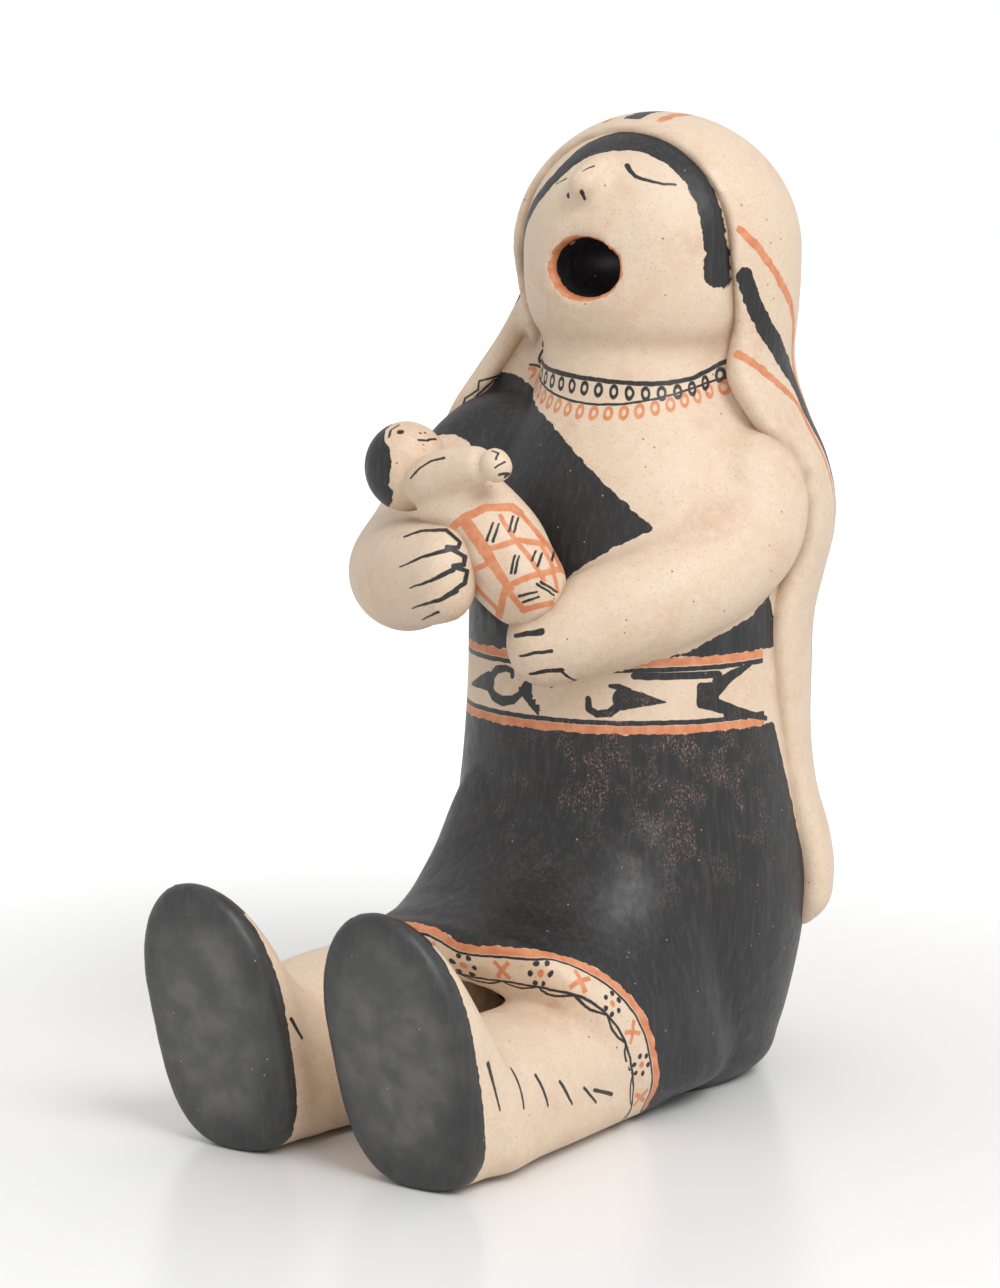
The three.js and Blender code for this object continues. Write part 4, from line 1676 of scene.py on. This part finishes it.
        def painted(bench: Bench, u: object, v: object) -> Marks:
            """Distances to the lines and rings.

            Args:
                bench: the material's nodes.
                u: place round the neck.
                v: height.
            Returns:
                The distances, by slip.
            """
            out: Marks = {Slip.BLACK: [], Slip.ORANGE: []}
            turn = bench.math("DIVIDE", u, self.neck_radius)
            for curve, lace in zip(curves, NECKLACES):
                level = float(curve[0])
                for number in curve[1:]:
                    level = bench.math("MULTIPLY_ADD", turn, level, float(number))
                above = bench.math("SUBTRACT", v, level)
                out[Slip.BLACK].append(
                    bench.math("SUBTRACT", bench.math("ABSOLUTE", above), lace.half)
                )
                across = bench.math("WRAP", u, lace.spacing / 2, -lace.spacing / 2)
                down = bench.math("MULTIPLY", bench.math("ADD", above, lace.drop), lace.ring_squash)
                place = bench.add("CombineXYZ", {0: across, 1: down}).outputs[0]
                ring = bench.math("SUBTRACT", bench.vector("LENGTH", place), lace.ring_radius)
                out[lace.slip].append(
                    bench.math("SUBTRACT", bench.math("ABSOLUTE", ring), lace.ring_half)
                )
            return out

        return painted

    def belt_lines(self, bench: Bench, u: object, v: object) -> Marks:
        """The belt's edges: level orange lines with a black line beside each.

        Args:
            bench: the material's nodes.
            u: place round the waist.
            v: height.
        Returns:
            The distances, by slip.
        """
        out: Marks = {Slip.BLACK: [], Slip.ORANGE: []}
        middle, half = self.belt_levels
        orange_half, black_half = 0.85, 0.5
        ends = bench.math("SUBTRACT", u, self.belt_end)
        for level, wide, slip in (
            (middle + half - 0.8, orange_half, Slip.ORANGE),
            (middle + half - 2.3, black_half, Slip.BLACK),
            (middle - half + 0.75, orange_half, Slip.ORANGE),
            (middle - half + 2.2, black_half, Slip.BLACK),
        ):
            far = bench.math("ABSOLUTE", bench.math("SUBTRACT", v, level))
            out[slip].append(bench.math("MAXIMUM", bench.math("SUBTRACT", far, wide), ends))
        return out

    def hem_pattern(self, sight: Sight, chart: Ribbon) -> Pattern:
        """An orange edge with a fine black line, then crosses and rings of dots by turns, and a
        fine line with scallops hung under it.

        Args:
            sight: the photograph's viewpoint.
            chart: the chart along the hem.
        Returns:
            The pattern.
        """
        crosses = chart.read(sight.spots(HEM_CROSSES)[0])[:, 0]
        step = float((crosses[-1] - crosses[0]) / (len(crosses) - 1))
        start = float(crosses[0])
        edge_half, fine_half, scallop_half = 0.85, 0.26, 0.24
        fine_level, low_level, row_level = -1.25, -6.5, -3.9
        scallop_length, arm_half, arm_reach = 9, 0.5, 2.5
        centre_radius, ring_radius, dot_radius, dots_in_ring = 0.72, 2.1, 0.58, 6

        def painted(bench: Bench, u: object, v: object) -> Marks:
            """Distances to the lines, crosses and dots.

            Args:
                bench: the material's nodes.
                u: place along the hem.
                v: distance above its orange edge.
            Returns:
                The distances, by slip.
            """
            def off(value: object, half: float) -> object:
                """A value's size less a half width."""
                return bench.math("SUBTRACT", bench.math("ABSOLUTE", value), half)

            def band(level: object, half: float) -> object:
                """Distance to a line at some level."""
                return off(bench.math("SUBTRACT", v, level), half)

            hang = bench.math("SINE", bench.math("MULTIPLY", u, math.pi / scallop_length))
            hang = bench.math("ABSOLUTE", hang)
            scallop = bench.math("MULTIPLY_ADD", hang, -1.0, low_level)
            across = bench.math("WRAP", bench.math("SUBTRACT", u, start), step / 2, -step / 2)
            down = bench.math("SUBTRACT", v, row_level)
            slant = [bench.math("MULTIPLY", bench.math(how, across, down), math.sqrt(0.5))
                     for how in ("ADD", "SUBTRACT")]
            arms = [
                bench.math("MAXIMUM", off(one, arm_half), off(other, arm_reach))
                for one, other in (slant, slant[::-1])
            ]
            beside = bench.math("SUBTRACT", u, start + step / 2)
            beside = bench.math("WRAP", beside, step / 2, -step / 2)
            place = bench.add("CombineXYZ", {0: beside, 1: down}).outputs[0]
            away = bench.vector("LENGTH", place)
            centre = bench.math("SUBTRACT", away, centre_radius)
            turn = bench.math("ARCTAN2", down, beside)
            part = bench.math("WRAP", turn, math.pi / dots_in_ring, -math.pi / dots_in_ring)
            dot_place = bench.add("CombineXYZ", {
                0: bench.math("MULTIPLY", part, ring_radius),
                1: bench.math("SUBTRACT", away, ring_radius),
            }).outputs[0]
            dots = bench.math("SUBTRACT", bench.vector("LENGTH", dot_place), dot_radius)
            return {
                Slip.ORANGE: [band(0.0, edge_half), *arms, centre],
                Slip.BLACK: [
                    band(fine_level, fine_half), band(low_level, fine_half),
                    band(scallop, scallop_half), dots,
                ],
            }

        return painted

    def paint(self, coat: PaintedClay) -> None:
        """Lays out the mother's zones and gives them their materials.

        Args:
            coat: the piece's finish.
        """
        sight = coat.sight
        centres, ways = coat.faces()
        off_arms = np.minimum(off_limb(centres, self.near_arm), off_limb(centres, self.far_arm))
        neck = Around(self.neck_axis, self.neck_radius)
        level, reach, nape, far_side = self.neck_band
        from_neck = np.hypot(*(centres[:, :2] - self.neck_axis).T)
        on_neck = (off_arms > 1) & (np.abs(centres[:, 2] - level) < reach)
        on_neck &= (centres[:, 1] < nape) & (
            (from_neck < self.far_necklace) | (centres[:, 0] > far_side)
        )
        far_end = neck.read(sight.spots(NECKLACE_BLACK[1:2])[0])[0, 0]
        on_neck &= neck.read(centres)[:, 0] > far_end
        middle, half = self.belt_levels
        waist = Around((0.0, 0.0), self.waist_radius)
        arm_gap, spare, backwards = 0.6, 3, 0.6
        on_waist = (off_arms > arm_gap) & (np.abs(centres[:, 2] - middle) < half + spare)
        on_waist &= ways[:, 1] < backwards
        hem = self.hem(sight)
        on_lap = centres[:, 2] < self.lap_top
        on_hem = np.zeros(len(centres), bool)
        away = hem.read(centres[on_lap])[:, 1]
        below, above = self.hem_band
        on_hem[on_lap] = (away > below) & (away < above)
        coat.dress(self.marks(sight), [
            coat.around("face", FACE, 9),
            coat.around("far hand", FAR_HAND, 5, square=True),
            coat.around("near hand", NEAR_HAND, 5),
            coat.around("near leg", NEAR_LEG, 7),
            coat.around("far leg", FAR_LEG, 5),
            Zone("necklaces", neck, on_neck, (), self.necklaces(sight, neck)),
            Zone("belt", waist, on_waist, BELT, self.belt_lines),
            Zone("hem", hem, on_hem, (), self.hem_pattern(sight, hem)),
        ])


@dataclass
class Shawl:
    """The shawl: a hood with a rounded rim, and a curtain down the back."""

    grain: float = 0.85
    centre: tuple[float, float, float] = (0.6, 8.5, 171)
    turn: float = 3.5
    half: float = 30
    up: float = 28.6
    down: float = 66
    deep: float = 29
    rim_angle: float = 63
    rim_thickness: float = 3.2
    rim_slope: float = 0.24
    curtain: Rows = field(default_factory=lambda: [
        (31.5, 3, 35, 35, 35.5, 66, 66, 5),
        (34, 3, 38, 38, 38, 68, 68, 6),
        (42, 3, 40.5, 40.5, 39.5, 70, 70, 7.5),
        (50, 3, 39.5, 39.5, 39, 72, 72, 7.5),
        (60, 2, 37, 37, 37.5, 75, 75, 6.5),
        (70, 2, 35.5, 35.5, 36.5, 78, 78, 6),
        (84, 2, 35.3, 35.3, 36.5, 82, 82, 6.5),
        (98, 2, 36.2, 35.5, 36.5, 84, 84, 6.5),
        (106, 3, 38, 38, 36.5, 82, 84, 6),
        (114, 4, 39.8, 42, 36.3, 82, 96, 6),
        (122, 4, 40, 44, 36, 83, 106, 6),
        (130, 4, 37.8, 44.5, 35, 87, 114, 6),
        (138, 5, 33, 42.5, 33.2, 93, 114, 6),
        (146, 6, 29.4, 37.5, 31.6, 99, 110, 6),
        (154, 7, 28.4, 32.5, 30.3, 98, 106, 5.5),
        (162, 8, 28.4, 29.8, 29, 98, 100, 5),
        (170, 8, 27, 27.5, 27.5, 96, 98, 5),
    ])
    stripe_foot: float = 38
    stripe_start: float = -1.5
    middle_stripes: tuple[float, float, float] = (2.1, 6.6, 1.0)
    stripes: tuple = (
        (((740, 230), (760, 250), (780, 281), (793, 315)),
         [(62, 140), (52, 125), (45, 105), (41, 80), (40, 40)], (0.9, 1.1, 1.0, 0.9), Slip.ORANGE),
        (((745, 276), (752, 298), (764, 325), (779, 351), (793, 380)),
         [(66, 136), (61, 120), (59, 100), (57.5, 75), (54, 40)], (1.9, 2.4, 2.0, 1.8), Slip.BLACK),
        (((737, 354), (745, 358), (753, 363), (762, 370), (773, 379), (784, 389), (797, 403)),
         [(72, 133), (69, 124), (67, 116)], (0.85, 1.0, 0.9, 0.2), Slip.ORANGE),
    )

    def hood(self) -> Surface:
        """Rings about the way the face looks: an inner wall, the rounded rim, the outer wall.
        A ring at the angle r from the front has the half sizes of the hood times sin(r), and
        below the middle the rim runs back as it goes down.

        Returns:
            The closed skin.
        """
        rim, turn = math.radians(self.rim_angle), math.radians(self.turn)
        lip = self.rim_thickness / 2
        a = turn_angles(144)
        tall = np.where(np.sin(a) >= 0, self.up, self.down)

        def wall(reach: np.ndarray, shrink: np.ndarray, forward: np.ndarray) -> np.ndarray:
            """Rings at some angles.

            Args:
                reach: their angles from the front.
                shrink: how much smaller each is.
                forward: how far forward each is moved.
            Returns:
                Rings by points by 3.
            """
            reach, shrink, forward = (np.atleast_1d(v)[:, None] for v in (reach, shrink, forward))
            x = (self.half - shrink) * np.sin(reach) * np.cos(a)
            y = -(self.deep - shrink) * np.cos(reach) - forward + 0 * a
            z = (tall - shrink) * np.sin(reach) * np.sin(a)
            y = y - self.rim_slope * np.minimum(z, 0) * np.maximum(np.cos(reach), 0) / math.cos(rim)
            return np.stack([
                self.centre[0] + x * math.cos(turn) - y * math.sin(turn),
                self.centre[1] + x * math.sin(turn) + y * math.cos(turn),
                self.centre[2] + z,
            ], -1)

        inner = wall(np.radians([80.0, 75.0, 70.0]), np.array([9.0, 8.0, 5.5]), np.zeros(3))
        w = np.linspace(np.pi, 0, 11)
        edge = wall(np.full(11, rim), lip - lip * np.cos(w), lip * np.sin(w))
        reach = np.linspace(rim, np.pi - 0.02, 71)[1:]
        outer = wall(reach, np.zeros(70), np.zeros(70))
        return skin(np.concatenate([inner, edge, outer]))

    def fall(self) -> Surface:
        """The shawl below the hood: level sections, each a thick superellipse arc round the
        back with round ends.

        Returns:
            The closed skin.
        """
        z = np.linspace(31.5, 170, 130)
        back, near, far, rear, near_edge, far_edge, thick = along(self.curtain, z).T[:, :, None]
        s = np.linspace(0, 1, 90)[None, :]
        angle = np.radians(near_edge * (1 - s) - far_edge * s)
        half = np.where(angle >= 0, near, far)
        bend = 2 / SHAWL_SQUARE

        def arc(shrink: np.ndarray) -> np.ndarray:
            """The arc.

            Args:
                shrink: how much smaller it is on all sides.
            Returns:
                Sections by points by 3.
            """
            x = (half - shrink) * power(np.sin(angle), bend)
            y = back + (rear - shrink) * power(np.cos(angle), bend)
            return np.stack([x, y, z[:, None] + 0 * x], -1)

        def end(start: np.ndarray, stop: np.ndarray, before: np.ndarray) -> np.ndarray:
            """A half circle from one point of each section to another.

            Args:
                start: the first points.
                stop: the last points.
                before: the points before the first, which give the way ahead.
            Returns:
                Sections by points by 3.
            """
            w = np.linspace(0, np.pi, 9)[1:-1][None, :, None]
            middle, arm = (start + stop) / 2, (start - stop) / 2
            ahead = start - before
            ahead *= np.linalg.norm(arm, axis=-1, keepdims=True) / np.linalg.norm(
                ahead, axis=-1, keepdims=True)
            return middle[:, None] + arm[:, None] * np.cos(w) + ahead[:, None] * np.sin(w)

        outer, inner = arc(0 * thick), arc(thick)[:, ::-1]
        far_end = end(outer[:, -1], inner[:, 0], outer[:, -2])
        near_end = end(inner[:, -1], outer[:, 0], inner[:, -2])
        return skin(np.concatenate([outer, far_end, inner, near_end], 1))

    def build(self) -> bpy.types.Object:
        """Joins the hood and the curtain and smooths the clay.

        Returns:
            The shawl's piece.
        """
        clay = Clay("shawl", [self.hood(), self.fall()], self.grain)
        clay.relax(3)
        clay.fill_creases(40, smoothstep(120, 150, clay.points[:, 2]))
        _, y, z = clay.points.T
        clay.soften(25, 0.9 * smoothstep(142, 152, z) * smoothstep(0, 8, y))
        clay.relax(6)
        self.clay = clay
        return clay.finished()

    def stripe(self, sight: Sight, pixels: Pixels, back: Rows) -> np.ndarray:
        """A stripe's line: seen places first, then places down the back.

        Args:
            sight: the photograph's viewpoint.
            pixels: the seen places.
            back: angles from the middle of the back and heights, on the curtain's outside.
        Returns:
            Places on a smooth curve.
        """
        rows = np.asarray(back, float)
        middle, near, _, rear = along(self.curtain, rows[:, 1]).T[:4]
        angle = np.radians(rows[:, 0])
        bend = 2 / SHAWL_SQUARE
        places = np.stack([
            near * power(np.sin(angle), bend), middle + rear * power(np.cos(angle), bend), rows[:, 1],
        ], -1)
        return smooth_line(np.vstack([sight.spots(pixels)[0], places]), 60)

    def marks(self, sight: Sight) -> dict[str, np.ndarray]:
        """Distances to the stripes: a middle set in upright planes over the crown and down the
        back, and a set on each side that sweeps back from the rim, the far one mirrored.

        Args:
            sight: the photograph's viewpoint.
        Returns:
            Values for each point: millimetres, negative inside, and shares.
        """
        points = self.clay.points
        x, y, z = points.T
        middle = self.centre[0]
        black, orange = [], []
        for pixels, back, halves, slip in self.stripes:
            line = self.stripe(sight, pixels, back)
            share = np.linspace(0, 1, len(line))
            wide = np.interp(share, np.linspace(0, 1, len(halves)), halves)
            for mirror in (1, -1):
                sided = (line - [middle, 0, 0]) * [mirror, 1, 1] + [middle, 0, 0]
                laid = sight.outer(sided, (middle, self.centre[1]))
                (black if slip is Slip.BLACK else orange).append(off_line(points, laid, wide))
        forwards, margin = -0.72, 3.0
        facing = np.where(normals_of(self.clay.mesh)[:, 1] < forwards, margin, -BEYOND)
        behind = np.maximum.reduce([self.stripe_foot - z, facing, self.stripe_start - y])
        black_half, orange_at, orange_half = self.middle_stripes
        off_middle = np.abs(x - middle)
        black.append(np.maximum(off_middle - black_half, behind))
        orange.append(np.maximum(np.abs(off_middle - orange_at) - orange_half, behind))
        nothing = np.zeros(len(points))
        return {
            "black": np.minimum.reduce(black), "orange": np.minimum.reduce(orange),
            "grey": nothing, "worn": nothing,
        }

    def paint(self, coat: PaintedClay) -> None:
        """Gives the shawl its stripes and the hatching on its inner edge."""
        coat.dress(self.marks(coat.sight), [coat.around("shawl edge", SHAWL_HATCH, 5)])


@dataclass
class Baby:
    """The baby in the mother's arms: head, blanket, arm and fist."""

    grain: float = 0.5
    head: tuple[tuple[float, ...], tuple[float, ...]] = ((-22.2, -47, 129.2), (8.3, 8.5, 9))
    head_reach: float = 11.5
    blanket: Rows = field(default_factory=lambda: [
        (-17, -45.5, 126, 7.5, 8),
        (-11.5, -46, 123.5, 8.8, 8.6),
        (-5.5, -46, 119.5, 9.3, 9),
        (-1, -45.5, 114.5, 10, 9.6),
        (2, -44, 109.5, 10, 9),
        (4, -41, 105, 8.8, 8),
        (6, -37, 100.5, 7, 6.5),
    ])
    arm: Rows = field(default_factory=lambda: [
        (-17, -48.5, 124.5, 5, 5),
        (-12.5, -51.2, 127, 5.4, 5.2),
        (-7, -52.4, 129.2, 4.8, 4.8),
        (-1, -52.8, 130.8, 3.9, 3.9),
        (3, -52.6, 131.3, 3.2, 3.2),
    ])
    fist: Rows = field(default_factory=lambda: [
        (1.5, -53, 133, 2.7, 2.7),
        (4, -53.2, 131.4, 3.1, 3.1),
        (5.2, -52.5, 128, 3, 3),
    ])

    def build(self) -> bpy.types.Object:
        """Joins the lofts and smooths the clay.

        Returns:
            The baby's piece.
        """
        clay = Clay("baby", [
            egg(*self.head, 64, 48),
            limb(self.blanket, 64, 60),
            limb(self.arm, 40, 40),
            limb(self.fist, 32, 30),
        ], self.grain)
        clay.relax(3)
        clay.fill_creases(60, 1.0)
        clay.relax(4)
        self.clay = clay
        return clay.finished()

    def paint(self, coat: PaintedClay) -> None:
        """Paints the hair, the face, the neckline and the blanket's squares.

        Args:
            coat: the piece's finish.
        """
        points = self.clay.points
        hair, middle = np.full(len(points), BEYOND), self.head[0]
        on_head = ((points - middle) ** 2).sum(1) < self.head_reach**2
        chart = Flat(-np.array(coat.sight.ahead))
        outline = chart.read(sight_plane(coat.sight, BABY_HAIR, middle))
        hair[on_head] = within(chart.read(points[on_head]), outline)
        nothing = np.zeros(len(points))
        coat.dress(
            {"black": hair, "orange": nothing + BEYOND, "grey": nothing, "worn": nothing},
            [
                coat.around("baby head", BABY_HEAD, 7),
                coat.around("baby body", BABY_BODY, 4),
                coat.around("blanket", BLANKET, 8, square=True),
            ],
        )


# Stage

@dataclass
class Studio:
    """White floor and sky, a soft light and the camera."""

    camera_place: tuple[float, float, float] = (0.40024, -0.56156, 0.1902)
    camera_target: tuple[float, float, float] = (-0.01886, 0.01524, 0.090)
    lens: float = 96.9
    sensor: float = 36
    near_floor: tuple[float, ...] = (0.87, 0.865, 0.86, 1)
    fade: tuple[float, float] = (0.07, 0.4)
    ambient: float = 0.78
    key_place: tuple[float, float, float] = (1.05, -0.4, 1.15)
    key_size: float = 0.7
    key_watts: float = 13
    floor_half: float = 6

    def camera(self) -> None:
        """The camera at the photograph's viewing angle."""
        data = bpy.data.cameras.new("camera")
        data.lens, data.sensor_width = self.lens, self.sensor
        data.clip_start, data.clip_end = 0.01, 50
        made = placed("camera", data)
        self.aim(made, self.camera_place, self.camera_target)
        bpy.context.scene.camera = made

    def aim(
        self, made: bpy.types.Object, place: tuple[float, ...], target: tuple[float, ...]
    ) -> None:
        """Puts a camera or a light in its place and turns it.

        Args:
            made: the object.
            place: where it goes.
            target: what it looks at.
        """
        made.location = place
        ahead = Vector(target) - Vector(place)
        made.rotation_euler = ahead.to_track_quat("-Z", "Y").to_euler()

    def light(self) -> None:
        """The square soft light from the right and above."""
        data = bpy.data.lights.new("key", "AREA")
        data.energy, data.size = self.key_watts, self.key_size
        self.aim(placed("key", data), self.key_place, (0, 0, self.camera_target[2]))

    def white(self, bench: Bench) -> object:
        """Strength of the white round the figure: full to the camera, less as light."""
        seen = bench.add("LightPath", {}).outputs["Is Camera Ray"]
        return bench.math("MULTIPLY_ADD", seen, 1 - self.ambient, self.ambient)

    def build(self) -> None:
        """Floor, light, sky and camera."""
        half = self.floor_half
        corners = np.array([(-half, -half, 0), (half, -half, 0), (half, half, 0), (-half, half, 0)])
        mesh = mesh_of("floor", (corners, [(0, 1, 2, 3)]))
        floor = placed("floor", mesh)
        paint = bpy.data.materials.new("floor")
        paint.use_nodes = True
        bench = Bench(paint.node_tree)
        shader = paint.node_tree.nodes["Principled BSDF"]
        far = bench.vector("LENGTH", bench.add("TexCoord", {}).outputs["Object"])
        glow = bench.ramp(far, *self.fade)
        bench.put(shader.inputs["Base Color"], bench.mixed(glow, self.near_floor, (0, 0, 0, 1)))
        bench.put(shader.inputs["Roughness"], 0.25)
        bench.put(shader.inputs["Specular IOR Level"], 0.35)
        bench.put(shader.inputs["Emission Color"], bench.mixed(glow, (0, 0, 0, 1), (1, 1, 1, 1)))
        bench.put(shader.inputs["Emission Strength"], self.white(bench))
        mesh.materials.append(paint)
        self.light()
        world = bpy.data.worlds.new("sky")
        world.use_nodes = True
        sky = world.node_tree.nodes["Background"]
        sky.inputs["Color"].default_value = (1, 1, 1, 1)
        air = Bench(world.node_tree)
        air.put(sky.inputs["Strength"], self.white(air))
        bpy.context.scene.world = world
        bpy.context.scene.view_settings.view_transform = "Standard"
        bpy.context.scene.cycles.use_denoising = True
        self.camera()


def main() -> None:
    """Builds the pieces in order."""
    logging.basicConfig(level=logging.INFO, format="%(name)s: %(message)s")
    studio, box = Studio(), Paintbox()
    studio.build()
    parts = (Mother(), Shawl(), Baby())
    pieces = [part.build() for part in parts]
    for part, piece in zip(parts, pieces):
        others = np.vstack([other.clay.points for other in parts if other is not part])
        part.paint(PaintedClay(piece, part.clay, Sight(piece, studio), box, others))
        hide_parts("pottery_figure")
        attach(piece, "root")
        LOG.info("%s: %d faces", piece.name, len(piece.data.polygons))


if __name__ == "__main__":
    main()
